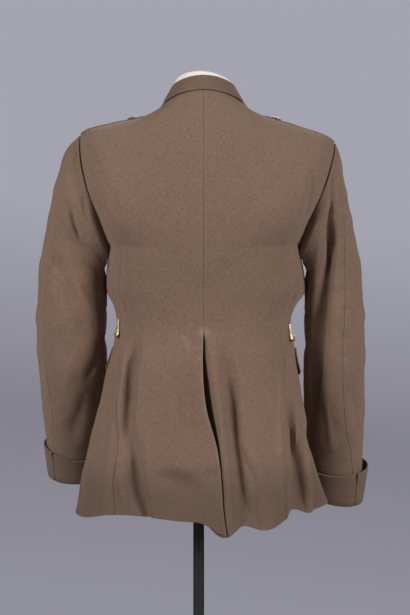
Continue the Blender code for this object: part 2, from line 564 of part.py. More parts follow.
def trunk_surface(panel, side, run, turn):
    """Points of a panel's outer face and their normals."""
    run, turn = np.broadcast_arrays(np.asarray(run, dtype=float), turn)
    normals = surface_normals(lambda runs, turns: folded_points(panel, side, runs, turns), run, turn,
                              panel_sign(panel, side))
    return folded_points(panel, side, run, turn), normals


def panel_start(panel, side, run):
    """The turn where a panel starts: its centre seam, vent edge, roll line or front edge."""
    if panel == "front":
        return np.radians(ROLL.at(run)["turn"])
    vent = VENT.at(run)
    under = (UNDERLAP - vent["gap_x"]) * ease((run - RUN_VENT - UNDERLAP_DROP) / UNDERLAP_FADE)
    past = vent["edge_x"] if side < 0 else under
    past = np.where(run < RUN_VENT, 0.0, past)
    reach = SIDES[side].at(run)["reach"] * (1 + TRUNK.at(run)["square"])
    return -np.arcsin(past / reach)


def panel_grid(panel, side, runs, shares):
    """Run and turn of each point of a panel's grid."""
    run = np.array(runs)[:, None]
    start = panel_start(panel, side, run)
    end = ring(panel, side, run)[3]
    share = np.array(shares)[None, :]
    return run + 0 * share, start + (end - start) * share


# ------------------------------------------------------------------ meshes

def material(name, look):
    """A Principled material of a colour, roughness and metallic value."""
    made = bpy.data.materials.new(name)
    made.use_nodes = True
    shader = made.node_tree.nodes["Principled BSDF"]
    colour, roughness, metallic = look
    shader.inputs["Base Color"].default_value = colour
    shader.inputs["Roughness"].default_value = roughness
    shader.inputs["Metallic"].default_value = metallic
    made.diffuse_color = colour
    return made


def add_object(name, points, faces, look):
    """One closed solid as a smooth-shaded object."""
    shift = np.array((*CENTRE_SHIFT, 0.0))
    mesh = bpy.data.meshes.new(name)
    mesh.from_pydata((np.asarray(points) + shift).tolist(), [], faces)
    mesh.shade_smooth()
    mesh.set_sharp_from_angle(angle=radians(40))
    mesh.materials.append(material(name + "_look", look))
    made = bpy.data.objects.new(name, mesh)
    bpy.context.scene.collection.objects.link(made)
    return made


def add_wall(name, outer, normals, look=CLOTH_LOOK, thick=CLOTH):
    """A wall from a grid of points inwards against its normals, closed round its rim."""
    rows, columns = outer.shape[:2]
    inner = outer - normals * thick
    points = np.concatenate([outer.reshape(-1, 3), inner.reshape(-1, 3)])
    index = np.arange(rows * columns).reshape(rows, columns)
    below = index + rows * columns
    down, across = outer[-1, -1] - outer[-2, -1], outer[-1, -1] - outer[-1, -2]
    facing = np.cross(down, across) @ normals[-1, -1] > 0
    if not facing:
        index, below = index[:, ::-1], below[:, ::-1]
    faces = []
    for row in range(rows - 1):
        for column in range(columns - 1):
            here = (row, column), (row + 1, column), (row + 1, column + 1), (row, column + 1)
            faces.append([int(index[place]) for place in here])
            faces.append([int(below[place]) for place in reversed(here)])
    rim = ([(0, c) for c in range(columns)] + [(r, columns - 1) for r in range(1, rows)]
           + [(rows - 1, c) for c in range(columns - 2, -1, -1)] + [(r, 0) for r in range(rows - 2, 0, -1)])
    for here, there in zip(rim, rim[1:] + rim[:1]):
        top, after, bottom_after, bottom = (int(place) for place in
                                            (index[here], index[there], below[there], below[here]))
        if (points[top] - points[after]) @ RIM_ORDER > 0:
            faces += [[top, after, bottom_after], [top, bottom_after, bottom]]
        else:
            faces += [[top, after, bottom], [after, bottom_after, bottom]]
    return add_object(name, points, faces, look)


def add_turned(name, profile, place, axis, look, sides=20):
    """A solid turned about an axis: a profile of radius and height, capped at both ends."""
    axis = unit(np.asarray(axis, dtype=float))
    across = unit(np.cross(axis, (0.0, 1.0, 0.0) if abs(axis[2]) > 0.9 else (0.0, 0.0, 1.0)))
    beside = np.cross(axis, across)
    points = []
    for radius, height in profile:
        for step in range(sides):
            angle = 2 * pi * step / sides
            points.append(np.asarray(place) + axis * height
                          + radius * (across * cos(angle) + beside * sin(angle)))
    faces = [list(range(sides))[::-1], [len(points) - sides + step for step in range(sides)]]
    for row in range(len(profile) - 1):
        for step in range(sides):
            after = (step + 1) % sides
            faces.append([row * sides + step, row * sides + after,
                          (row + 1) * sides + after, (row + 1) * sides + step])
    return add_object(name, points, faces, look)


def pull_in(points, normals, edges, gap=SEAM_GAP / 2):
    """Moves the named edges of a grid into the piece, square to the edge and to its normals."""
    moved = points.copy()
    pairs = {"start": ((slice(None), 0), (slice(None), 1)), "end": ((slice(None), -1), (slice(None), -2)),
             "top": ((0,), (1,)), "bottom": ((-1,), (-2,))}
    for edge in edges:
        rim, next_in = pairs[edge]
        inwards = unit(np.cross(np.gradient(points[rim], axis=0), normals[rim]))
        side = np.sign(np.sum(inwards * (points[next_in] - points[rim]), axis=-1, keepdims=True))
        moved[rim] += inwards * side * gap
    return moved


def share_seam(first, first_edge, second, second_edge):
    """Gives two panels' grids the same mean points and normals along a shared seam."""
    middle = (first[0][first_edge] + second[0][second_edge]) / 2
    mean = unit(first[1][first_edge] + second[1][second_edge])
    first[0][first_edge] = second[0][second_edge] = middle
    first[1][first_edge] = second[1][second_edge] = mean


# ------------------------------------------------------------------ pieces of the garment

def make_panels():
    """Backs and fronts as grids of points and normals, agreed along their seams."""
    steps = {("back", -1): BACK_LEFT_STEPS, ("back", 1): BACK_RIGHT_STEPS,
             ("front", -1): FRONT_LEFT_STEPS, ("front", 1): FRONT_RIGHT_STEPS}
    panels = {}
    for (panel, side), shares in steps.items():
        run, turn = panel_grid(panel, side, TRUNK_STEPS, shares)
        panels[panel, side] = trunk_surface(panel, side, run, turn)
    runs = np.array(TRUNK_STEPS)
    whole = (runs <= RUN_TIP) | (runs >= RUN_UNDERARM)
    for side in (-1, 1):
        share_seam(panels["back", side], (whole, -1), panels["front", side], (whole, -1))
    sewn = runs <= RUN_VENT
    share_seam(panels["back", -1], (sewn, 0), panels["back", 1], (sewn, 0))
    return panels


def add_panels(panels):
    """The four panels of the trunk."""
    names = {-1: "left", 1: "right"}
    inside = armhole_rows()[0][1:-1]
    for (panel, side), (points, normals) in panels.items():
        edges = ("start", "end") if panel == "back" else ("end",)
        pulled = pull_in(points, normals, edges)
        pulled[inside, -1] = points[inside, -1]
        add_wall(panel + "_" + names[side], pulled, normals)


def sleeve_loop(side, angle):
    """The armhole as the sleeve's first ring, by the angle from the shoulder point over the back."""
    angle = np.mod(angle, 2 * pi)
    way = np.where(angle <= pi, angle / pi, 2 - angle / pi)
    points = np.where((angle <= pi)[..., None], armhole_edge("back", side, way),
                      armhole_edge("front", side, way))
    points[..., 0] *= side
    return points


def sleeve_points(side, run, angle):
    """Outer face of a sleeve at a run down the arm and an angle round it."""
    level = SLEEVES[side].at(run)
    middle_x, middle_z = ((level["outer_" + axis] + level["inner_" + axis]) / 2 for axis in "xz")
    half_x, half_z = ((level["outer_" + axis] - level["inner_" + axis]) / 2 for axis in "xz")
    from_outer = np.abs(np.mod(angle + pi, 2 * pi) - pi)
    point = ARMHOLE_POINT * (1 - ease(run / SLEEVE_ROUND_RUN))
    outer, back = pointed_cosine(from_outer, point), np.sin(angle)
    oval = stack(side * (middle_x + half_x * outer + level["spread"] * back ** 2),
                 level["mid_y"] + level["slant"] * outer - level["deep"] * back
                 + SLEEVE_FORWARD * level["spread"] * back ** 2,
                 middle_z + half_z * outer - level["drop"] * back)
    bind = (level["bind"] + 0 * angle)[..., None]
    return oval * (1 - bind) + sleeve_loop(side, angle) * bind


def sleeve_normals(side, run, angle):
    """Outward normals of the whole tube, so that both halves agree at their seams."""
    return surface_normals(lambda runs, angles: sleeve_points(side, runs, angles), run, angle, -side)


def add_sleeves(panels):
    """Top and under sleeve of each side; their first ring butts on the armhole."""
    names = {-1: "left", 1: "right"}
    run = np.array(SLEEVE_STEPS)[:, None]
    step = pi / ARMHOLE_STEPS
    for side in (-1, 1):
        seam = np.radians(SLEEVES[side].at(run)["seam"])
        forearm = radians(FOREARM_SEAM) + 0 * seam
        spans = {"sleeve_top_": (forearm - 2 * pi, seam), "sleeve_under_": (seam, forearm)}
        for kind, (start, end) in spans.items():
            count = round(float(end[0, 0] - start[0, 0]) / step)
            angle = start + (end - start) * np.linspace(0, 1, count + 1)[None, :]
            grid_run = run + 0 * angle
            points = sleeve_points(side, grid_run, angle)
            normals = sleeve_normals(side, grid_run, angle)
            normals[0] = armhole_normals(panels, side, angle[0])
            points = pull_in(points, normals, ("start", "end"))
            points[0] += armhole_outwards(side, angle[0], normals[0]) * ARMHOLE_GAP
            add_wall(kind + names[side], points, normals)


def armhole_rows():
    """Rows of the panels' grids that end on the armhole, and how far round it each is."""
    runs = np.array(TRUNK_STEPS)
    rows = np.flatnonzero((runs > RUN_TIP - 1e-6) & (runs < RUN_UNDERARM + 1e-6))
    return rows, (runs[rows] - RUN_TIP) / (RUN_UNDERARM - RUN_TIP)


def armhole_outwards(side, angles, normals):
    """Unit vectors from the panels' edge to the sleeve's, square to the armhole and to its normals."""
    tangent = sleeve_loop(side, angles + NORMAL_STEP) - sleeve_loop(side, angles - NORMAL_STEP)
    outwards = unit(np.cross(tangent, normals))
    return outwards * np.sign(outwards[..., :1] * side)


def armhole_normals(panels, side, angles):
    """The panels' normals along the armhole, at angles round the sleeve."""
    rows, way = armhole_rows()
    result = []
    for angle in np.mod(angles, 2 * pi):
        panel, place = ("back", angle / pi) if angle <= pi else ("front", 2 - angle / pi)
        edge = panels[panel, side][1][rows, -1]
        result.append([np.interp(place, way, edge[:, axis]) for axis in range(3)])
    return unit(np.array(result))


def mitre_armholes(panels):
    """Turns the panels' normals at the armholes halfway to the sleeves' ones and opens the seam's gap."""
    rows, way = armhole_rows()
    for side in (-1, 1):
        for panel in ("back", "front"):
            angle = (pi * way if panel == "back" else 2 * pi - pi * way)[None, :]
            own = sleeve_normals(side, np.zeros_like(angle), angle)[0]
            points, normals = panels[panel, side]
            normals[rows, -1] = unit(normals[rows, -1] + own)
            points[rows, -1] -= armhole_outwards(side, angle[0], normals[rows, -1]) * SEAM_GAP / 2


def add_cuffs():
    """Turned-back cuffs: each a band that leaves the sleeve's end, folds and goes up outside it."""
    names = {-1: "left", 1: "right"}
    centre, radius = (CUFF_RISE - CLOTH) / 2, (CUFF_RISE + CLOTH) / 2
    bends = [(-CLOTH, CUFF_LEAD)]
    bends += [(centre - radius * cos(angle), CUFF_FOLD_DOWN + radius * sin(angle))
              for angle in np.radians((0, 45, 90, 135, 180))]
    for side in (-1, 1):
        cuff = dict(zip(CUFF_COLUMNS.split(), CUFF_ROWS[side]))
        seam = radians(float(SLEEVES[side].at(1.0)["seam"]))
        angles = seam + 2 * pi * np.linspace(0.0, 1.0, CUFF_STEPS + 1)
        outer_share = np.clip(np.cos(angles), 0, 1)
        depth = cuff["depth_back"] + (cuff["depth_outer"] - cuff["depth_back"]) * outer_share
        flare = cuff["flare"] + (cuff["flare_outer"] - cuff["flare"]) * outer_share ** 2
        rows = [cuff_ring(side, angles, 0 * angles + down, out) for out, down in bends]
        rows += [cuff_ring(side, angles, CUFF_FOLD_DOWN - depth * share, CUFF_RISE + flare * share)
                 for share in CUFF_SHARES]
        points = np.array(rows)
        height = np.array([0.0] * len(bends) + [depth[0] * share for share in CUFF_SHARES])
        notch = ease((height - depth[0] + CUFF_SLIT_DEPTH) / CUFF_SLIT_DEPTH)
        notch = (CUFF_SLIT / 2 + CUFF_SLIT_OPEN * notch)[:, None]
        points[:, 0] += unit(points[:, 1] - points[:, 0]) * notch
        points[:, -1] += unit(points[:, -2] - points[:, -1]) * notch
        outward = sleeve_normals(side, np.array([[1.0]]), angles[None, -1:])[0, 0]
        add_wall("cuff_" + names[side], points, grid_normals(points, outward))


def cuff_ring(side, angles, down, out):
    """Points round the sleeve, down from its end and out from its outer face."""
    run = np.minimum(1.0 + down / SLEEVE_LENGTH, 1.0)[None, :]
    angle = angles[None, :]
    end = np.ones_like(run)
    ahead = unit(sleeve_points(side, end, angle) - sleeve_points(side, end - 0.01, angle))
    below = np.maximum(down, 0.0)[None, :, None]
    outward = sleeve_normals(side, run, angle) * (out + 0 * angle)[..., None]
    return (sleeve_points(side, run, angle) + ahead * below + outward)[0]


def add_lapels():
    """Lapels: each lies on its front panel and curls round the roll line."""
    names = {-1: "left", 1: "right"}
    share = np.array(LAPEL_SHARES)[None, :]
    for side in (-1, 1):
        runs = [row[0] for row in LAPEL_ROWS if row[0] < RUN_LAPEL_END[side]] + [RUN_LAPEL_END[side]]
        run = np.array(runs)[:, None]
        roll, edge = ROLL.at(run)["turn"], LAPEL.at(run)["turn"]
        flatten, cut = (ease((run - first) / (last - first)) * (side > 0)
                        for first, last in (LAPEL_FLAT_RUNS, LAPEL_CUT_RUNS))
        roll = roll + (np.maximum(roll, LAPEL_CUT_TURN - roll) - roll) * cut
        turn = np.radians(roll + (np.maximum(edge, roll + 1.0) - roll) * share)
        points, normals = trunk_surface("front", side, run + 0 * turn, turn)
        sideways = unit(points[:, 1] - points[:, 0])
        flat = points + normals * LAPEL_RISE
        curl = []
        for (over, out), (flat_over, flat_out) in zip(LAPEL_CURL, LAPEL_FLAT):
            curl.append(points[:, 0] + sideways * (over + (flat_over - over) * flatten)
                        + normals[:, 0] * (out + (flat_out - out) * flatten))
        surface = np.concatenate([np.array(curl).transpose(1, 0, 2), flat], axis=1)
        add_wall("lapel_" + names[side], surface, grid_normals(surface, normals[-1, -1]))


def yoke_surface(side, run, turn):
    """Outer face across the shoulder, where a turn past a quarter goes on over the front."""
    back = trunk_points("back", side, run, np.minimum(turn, pi / 2))
    front = trunk_points("front", side, run, pi - np.maximum(turn, pi / 2))
    return np.where((turn <= pi / 2)[..., None], back, front)


def yoke_normals(side, run, turn):
    """Upward normals across the shoulder."""
    return surface_normals(lambda runs, turns: yoke_surface(side, runs, turns), run, turn, side)


def add_collar():
    """The collar: a stand inside the neckline, a crease and a fall that lies on the shoulders."""
    turns = [-turn for turn in COLLAR_TURNS[:0:-1]] + list(COLLAR_TURNS)
    sections = [collar_section(-1 if turn < 0 else 1, abs(turn)) for turn in turns]
    surface = np.array(sections).transpose(1, 0, 2)
    outward = yoke_normals(1, np.zeros((1, 1)), np.array([[radians(COLLAR_TURNS[-1])]]))[0, 0]
    add_wall("collar", surface, grid_normals(surface, outward))


def collar_section(side, turn):
    """Points of the collar's outer face from the stand's foot, over the crease, to the fall's edge."""
    row = {name: float(value) for name, value in COLLAR.at(turn).items()}
    here, neckline = np.array([[radians(turn)]]), np.zeros((1, 1))
    root = yoke_surface(side, neckline, here)[0, 0]
    axis = np.array((side * row["fold_x"], row["fold_y"], row["fold_z"]))
    outward = unit(np.array((axis[0], axis[1] + 0.004, 0.0)))
    inwards = unit(root - yoke_surface(side, neckline + 0.01, here)[0, 0])
    foot = root + inwards * COLLAR_INSET - yoke_normals(side, neckline, here)[0, 0] * COLLAR_TUCK
    rise = unit(axis - foot)
    up = unit(rise - outward * (rise @ outward))
    points = [foot - outward * COLLAR_FOLD, (foot + axis) / 2 - outward * COLLAR_FOLD]
    points += [axis + COLLAR_FOLD * (-outward * cos(bend) + up * sin(bend))
               for bend in np.radians((0, 45, 90, 135, 180))]
    shares = np.array([(0.25, 0.5, 0.75, 1.0)])
    run = row["fall_run"] * shares
    fall_turn = np.radians(turn + (row["fall_turn"] - turn) * shares ** COLLAR_SWEEP)
    base = yoke_surface(side, run, fall_turn)[0]
    out = yoke_normals(side, run, fall_turn)[0]
    lift = points[-1] - root
    for share, point, normal in zip(shares[0], base, out):
        points.append(point + lift * (1 - share) + normal * COLLAR_RISE * share)
    return points


def add_straps():
    """Shoulder straps, laid over the shoulder seam from the sleeve to near the collar."""
    names = {-1: "left", 1: "right"}
    for side in (-1, 1):
        rows, normals = [], []
        for run, half_width, rise in STRAP_ROWS:
            over = np.radians(np.linspace(*STRAP_SEARCH))[None, :]
            arc = yoke_surface(side, np.full_like(over, run), over)[0]
            length = np.concatenate([[0], np.cumsum(np.linalg.norm(np.diff(arc, axis=0), axis=1))])
            length -= np.interp(pi / 2, over[0], length)
            spots = np.interp(np.linspace(-half_width, half_width, STRAP_POINTS), length, over[0])[None, :]
            out = yoke_normals(side, np.full_like(spots, run), spots)[0]
            rows.append(yoke_surface(side, np.full_like(spots, run), spots)[0] + out * rise)
            normals.append(out)
        add_wall("strap_" + names[side], np.array(rows), np.array(normals))
        top = np.array([[pi / 2]])
        run = np.array([[STRAP_BUTTON_RUN]])
        normal = yoke_normals(side, run, top)[0, 0]
        place = yoke_surface(side, run, top)[0, 0] + normal * (strap_rise(STRAP_BUTTON_RUN) + LAY_GAP)
        add_button("strap_button_" + names[side], place, normal, STRAP_BUTTON_RADIUS)


def strap_rise(run):
    """Height of a strap's outer face above the shoulder."""
    table = np.array(STRAP_ROWS)[::-1]
    return float(np.interp(run, table[:, 0], table[:, 2]))


def add_button(name, place, axis, radius):
    """A plain domed button with a flat back and a rounded rim."""
    profile = [(radius * across, radius * height) for across, height in BUTTON_PROFILE]
    return add_turned(name, profile, place, axis, BRASS_LOOK, sides=14)


def add_front_buttons():
    """Front buttons on the centre front of the left panel."""
    for number, run in enumerate(FRONT_BUTTON_RUNS, start=1):
        points, normals = trunk_surface("front", -1, np.array([[run]]), np.zeros((1, 1)))
        place = points[0, 0] + normals[0, 0] * LAY_GAP
        add_button("button_%d" % number, place, normals[0, 0], FRONT_BUTTON_RADIUS)


def add_flaps():
    """Hip pocket flaps: each lies on its front panel and springs out a little at its lower edge."""
    names = {-1: "left", 1: "right"}
    share = np.linspace(0, 1, FLAP_COLUMNS)[None, :]
    down = np.array(FLAP_ROWS)[:, None]
    ends, middle = FLAP_DEPTHS
    depth = ends + (middle - ends) * (1 - np.abs(2 * share - 1) ** FLAP_POINTED)
    run = FLAP_TOP_RUN + depth * down / BACK_LENGTH
    top_rise, bottom_rise = FLAP_RISES
    for side in (-1, 1):
        front, rear = FLAP_TURNS[side]
        turn = np.radians(front + (rear - front) * share) + 0 * run
        points, normals = trunk_surface("front", side, run, turn)
        surface = points + normals * (top_rise + (bottom_rise - top_rise) * down[..., None] ** 1.5)
        add_wall("flap_" + names[side], surface, grid_normals(surface, normals[-1, -1]))


def add_hooks():
    """Brass belt hooks on the side seams at the waist."""
    names = {-1: "left", 1: "right"}
    for side in (-1, 1):
        run = np.array([[HOOK_RUN[side]]])
        turn = ring("back", side, run)[3]
        points, normals = trunk_surface("back", side, np.concatenate([run, run + HOOK_LENGTH / BACK_LENGTH]),
                                        np.repeat(turn, 2, axis=0))
        down, out = unit(points[1, 0] - points[0, 0]), unit(normals[0, 0] + normals[1, 0])
        out = out + np.array([0.0, -HOOK_BACKWARDS, 0.0])
        out = unit(out - down * (out @ down))
        width = np.cross(down, out) * HOOK_WIDTH / 2
        route = np.array([points[0, 0] + down * below + out * away for below, away in HOOK_ROUTE])
        surface = np.stack([route - width, route + width], axis=1)
        add_wall("hook_" + names[side], surface, grid_normals(surface, -out), BRASS_LOOK, HOOK_THICK)


# ------------------------------------------------------------------ dress form and stand

def form_half(side, run, side_clear, centre_clear):
    """Half a ring of the form under the cloth, from the centre back round the side to the front."""
    share = np.linspace(0, 1, FORM_PANEL_POINTS)[None, :]
    halves = []
    for panel in ("back", "front"):
        turn = ring(panel, side, np.array([[run]]))[3] * share
        level = run + 0 * turn
        points = trunk_points(panel, side, level, turn)[0]
        normals = surface_normals(lambda runs, turns: trunk_points(panel, side, runs, turns), level, turn,
                                  panel_sign(panel, side))[0]
        clear = centre_clear + (side_clear - centre_clear) * np.sin(np.minimum(turn[0], pi / 2)) ** 2
        halves.append(points - normals * (CLOTH + clear)[:, None])
    line = np.concatenate([halves[0], halves[1][::-1]])
    length = np.concatenate([[0], np.cumsum(np.linalg.norm(np.diff(line, axis=0), axis=1))])
    spots = np.linspace(0, length[-1], FORM_HALF_POINTS)
    half = np.stack([np.interp(spots, length, line[:, axis]) for axis in range(3)], axis=-1)
    half[0, 0] = half[-1, 0] = 0.0
    return half


def add_form():
    """The dress form: a smooth closed torso with a neck and without limbs."""
    rings = []
    size = 2 * (FORM_HALF_POINTS - 1)
    angle = np.linspace(0, 2 * pi, size, endpoint=False)
    for across, deep, height, tilt, lean in NECK_ROWS:
        rings.append(stack(NECK_CENTRE[0] + across * np.sin(angle), NECK_CENTRE[1] - deep * np.cos(angle),
                           height + tilt * np.cos(angle) - lean * np.sin(angle)))
    for run, side_clear, centre_clear in FORM_ROWS:
        right = form_half(1, run, side_clear, centre_clear)
        left = form_half(-1, run, side_clear, centre_clear)
        rings.append(np.concatenate([right, left[-2:0:-1]]))
    rings[-1][:, 2] = FORM_BOTTOM
    points = np.concatenate(rings)
    faces = [list(range(size)), [len(points) - size + step for step in range(size)][::-1]]
    for row in range(len(rings) - 1):
        for step in range(size):
            after = (step + 1) % size
            faces.append([row * size + step, (row + 1) * size + step,
                          (row + 1) * size + after, row * size + after])
    add_object("form", points, faces, FORM_LOOK)


def add_stand():
    """The pole under the form and the round base that the part stands on."""
    foot = (POLE_X, 0.0, 0.0)
    top = BASE_PROFILE[-1][1]
    add_turned("base", BASE_PROFILE, foot, (0, 0, 1), STEEL_LOOK, sides=28)
    pole = [(POLE_RADIUS, top + SEAM_GAP), (POLE_RADIUS, FORM_BOTTOM - SEAM_GAP)]
    add_turned("pole", pole, foot, (0, 0, 1), STEEL_LOOK, sides=20)


def main():
    """Clears the scene and builds every piece."""
    for old in list(bpy.data.objects):
        bpy.data.objects.remove(old, do_unlink=True)
    panels = make_panels()
    mitre_armholes(panels)
    add_panels(panels)
    add_sleeves(panels)
    add_cuffs()
    add_lapels()
    add_collar()
    add_straps()
    add_front_buttons()
    add_flaps()
    add_hooks()
    add_form()
    add_stand()


main()
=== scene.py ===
"""Looks of a military dress tunic, filled out on a limbless dress form with a pole and a round base.

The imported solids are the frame. Each cloth piece is a thin shell on its solid's form, with creases, rolled
seams, stitches and a twill finish, and it stands for its solid's node. The garment's back looks along -Y
and its front along +Y. A ring of the trunk is followed by its turn, an angle from the centre of the back or
the front, and the panels by their run, 0 at the neckline and 1 at the hem. A sleeve's run goes from the
armhole to the wrist, and its angle from its outer point over its back.
"""

import logging
from dataclasses import dataclass, field
from enum import Enum
from functools import partial
from math import cos, hypot, pi, radians, sin
from typing import Callable, Iterable, Sequence

import bpy
import numpy as np
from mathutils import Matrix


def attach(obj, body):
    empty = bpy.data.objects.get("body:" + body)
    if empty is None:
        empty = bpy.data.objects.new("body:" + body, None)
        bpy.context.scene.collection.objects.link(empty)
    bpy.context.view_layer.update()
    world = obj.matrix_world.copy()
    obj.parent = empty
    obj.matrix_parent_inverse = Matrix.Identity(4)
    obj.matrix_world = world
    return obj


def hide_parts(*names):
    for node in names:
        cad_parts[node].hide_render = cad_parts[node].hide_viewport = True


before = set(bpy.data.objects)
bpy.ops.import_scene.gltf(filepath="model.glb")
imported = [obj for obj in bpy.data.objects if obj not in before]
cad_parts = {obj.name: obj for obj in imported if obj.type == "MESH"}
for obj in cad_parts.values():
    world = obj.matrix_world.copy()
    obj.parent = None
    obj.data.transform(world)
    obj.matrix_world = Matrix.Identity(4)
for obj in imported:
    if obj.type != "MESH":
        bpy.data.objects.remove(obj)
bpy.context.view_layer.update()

LOG = logging.getLogger("tunic")
Array = np.ndarray
Rows = tuple[tuple[float, ...], ...]
Surface = Callable[[Array, Array], Array]
Material, Object = bpy.types.Material, bpy.types.Object
Node, Socket = bpy.types.Node, bpy.types.NodeSocket

MM = 0.001
UP = np.array((0.0, 0.0, 1.0))
TOPSTITCH = 0.006  # from an edge to the stitches beside it
CENTRE_SHIFT = np.array((-0.0031, -0.0061, 0.0))  # moves the middle of the whole part onto the origin
NORMAL_STEP = 2e-4  # step over which normals are measured


class Side(Enum):
    """The viewer's left or right of the back, by the sign of X."""

    LEFT = -1
    RIGHT = 1

    @property
    def word(self) -> str:
        """The side's word in names."""
        return self.name.lower()


class Panel(Enum):
    """Which half of the trunk a panel belongs to."""

    BACK = "back"
    FRONT = "front"


class Edge(Enum):
    """How a cloth edge is finished: its name and the radius over which it rolls in."""

    SEAM = ("seam", 0.0008)
    ARMHOLE = ("armhole", 0.0014)
    HEM = ("hem", 0.0011)
    PLATE = ("plate", 0.0004)

    @property
    def radius(self) -> float:
        """Radius of the roll, in metres."""
        return self.value[1]


class Border(Enum):
    """The four borders of a grid of points."""

    TOP = "top"
    BOTTOM = "bottom"
    START = "start"
    END = "end"


HEMMED = dict.fromkeys(Border, Edge.HEM)


# ---- small sums

def ease(part: Array) -> Array:
    """0 to 1 with level ends."""
    part = np.clip(part, 0.0, 1.0)
    return part * part * (3 - 2 * part)


def bump(part: Array) -> Array:
    """1 at 0, falling smoothly to 0 at -1 and 1."""
    return 0.5 + 0.5 * np.cos(pi * np.clip(part, -1.0, 1.0))


def pointed_cosine(angle: Array, point: Array | float) -> Array:
    """A cosine of an angle from 0 to a half turn, drawn towards a straight fall by a share."""
    return (1 - point) * np.cos(angle) + point * (1 - 2 * angle / pi)


def unit(vectors: Array) -> Array:
    """Vectors of length 1."""
    return vectors / np.maximum(np.linalg.norm(vectors, axis=-1, keepdims=True), 1e-12)


def stack(x: Array, y: Array, z: Array) -> Array:
    """Points from their coordinates."""
    return np.stack(np.broadcast_arrays(x, y, z), axis=-1).astype(float)


def arc(points: Array, axis: int) -> Array:
    """Length along a grid's rows or columns from their start.

    Args:
        points: grid of points.
        axis: 0 down the columns, 1 along the rows.

    Returns:
        Lengths, of the grid's shape.
    """
    steps = np.linalg.norm(np.diff(points, axis=axis), axis=-1)
    start = np.zeros_like(np.take(steps, [0], axis=axis))
    return np.concatenate([start, np.cumsum(steps, axis=axis)], axis=axis)


def spaced(length: float, step: float, keep: Sequence[float] = ()) -> Array:
    """Shares from 0 to 1, even in the middle and close together at both ends.

    Args:
        length: length that the shares cover, in metres.
        step: spacing in the middle, in metres.
        keep: shares that have to be among them.

    Returns:
        The shares, rising.
    """
    close = np.array((0.0, 0.00035, 0.0008, 0.0014, 0.0024)) / length
    middle = np.linspace(0, 1, max(int(round(length / step)), 6) + 1)
    middle = middle[(middle > close[-1] * 1.5) & (middle < 1 - close[-1] * 1.5)]
    for value in keep:
        middle = middle[np.abs(middle - value) > 0.4 * step / length]
    return np.sort(np.concatenate([close, middle, 1 - close, np.array(keep, dtype=float)]))


def grid_normals(points: Array, outward: Array | None = None) -> Array:
    """Unit normals of a grid of points.

    Args:
        points: grid of points.
        outward: a direction that is outward at the last corner, where the sign isn't known.

    Returns:
        Normals, of the grid's shape.
    """
    normals = unit(np.cross(np.gradient(points, axis=0), np.gradient(points, axis=1)))
    return -normals if outward is not None and normals[-1, -1] @ outward < 0 else normals


def surface_normals(surface: Surface, run: Array, turn: Array, sign: float) -> Array:
    """Unit normals of a surface given by run and turn.

    Args:
        surface: gives points for runs and turns.
        run: runs of the points.
        turn: turns of the points.
        sign: 1 or -1, whichever makes the normals point outwards.

    Returns:
        Normals, of the points' shape.
    """
    above, below = np.maximum(run - NORMAL_STEP, 0.0), np.minimum(run + NORMAL_STEP, 1.0)
    down = surface(below, turn) - surface(above, turn)
    across = surface(run, turn + NORMAL_STEP) - surface(run, turn - NORMAL_STEP)
    return sign * unit(np.cross(down, across))


def rows_of(text: str) -> Rows:
    """Rows of numbers from a text with a row on each line, or between two upright strokes."""
    return tuple(tuple(map(float, row.split())) for row in text.strip().replace("\n", "|").split("|"))


def pair(left: object, right: object) -> dict:
    """A dataclass field with a value for each side."""
    return field(default_factory=lambda: {-1: left, 1: right})


class Table:
    """Rows of named columns, read at any place along the first column by a smooth curve."""

    def __init__(self, columns: str, rows: Rows) -> None:
        """Keeps the columns' names, values and slopes.

        Args:
            columns: names of the columns, the key's first.
            rows: their values.
        """
        values = np.array(rows, dtype=float)
        self.names = columns.split()[1:]
        self.keys, self.values = values[:, 0], values[:, 1:]
        step = np.diff(self.keys)[:, None]
        slope = np.diff(self.values, axis=0) / step
        middle = (slope[1:] * step[:-1] + slope[:-1] * step[1:]) / (step[1:] + step[:-1])
        self.slopes = np.vstack([slope[:1], middle, slope[-1:]])

    def at(self, key: Array | float) -> dict[str, Array]:
        """Every column's value at the given keys, by name."""
        key = np.clip(np.asarray(key, dtype=float), self.keys[0], self.keys[-1])
        right = np.clip(np.searchsorted(self.keys, key), 1, len(self.keys) - 1)
        left = right - 1
        step = (self.keys[right] - self.keys[left])[..., None]
        part = (key - self.keys[left])[..., None] / step
        value = (self.values[left] * (1 + 2 * part) * (1 - part) ** 2
                 + self.slopes[left] * step * part * (1 - part) ** 2
                 + self.values[right] * part ** 2 * (3 - 2 * part)
                 + self.slopes[right] * step * part ** 2 * (part - 1))
        return {name: value[..., index] for index, name in enumerate(self.names)}


# ---- creases

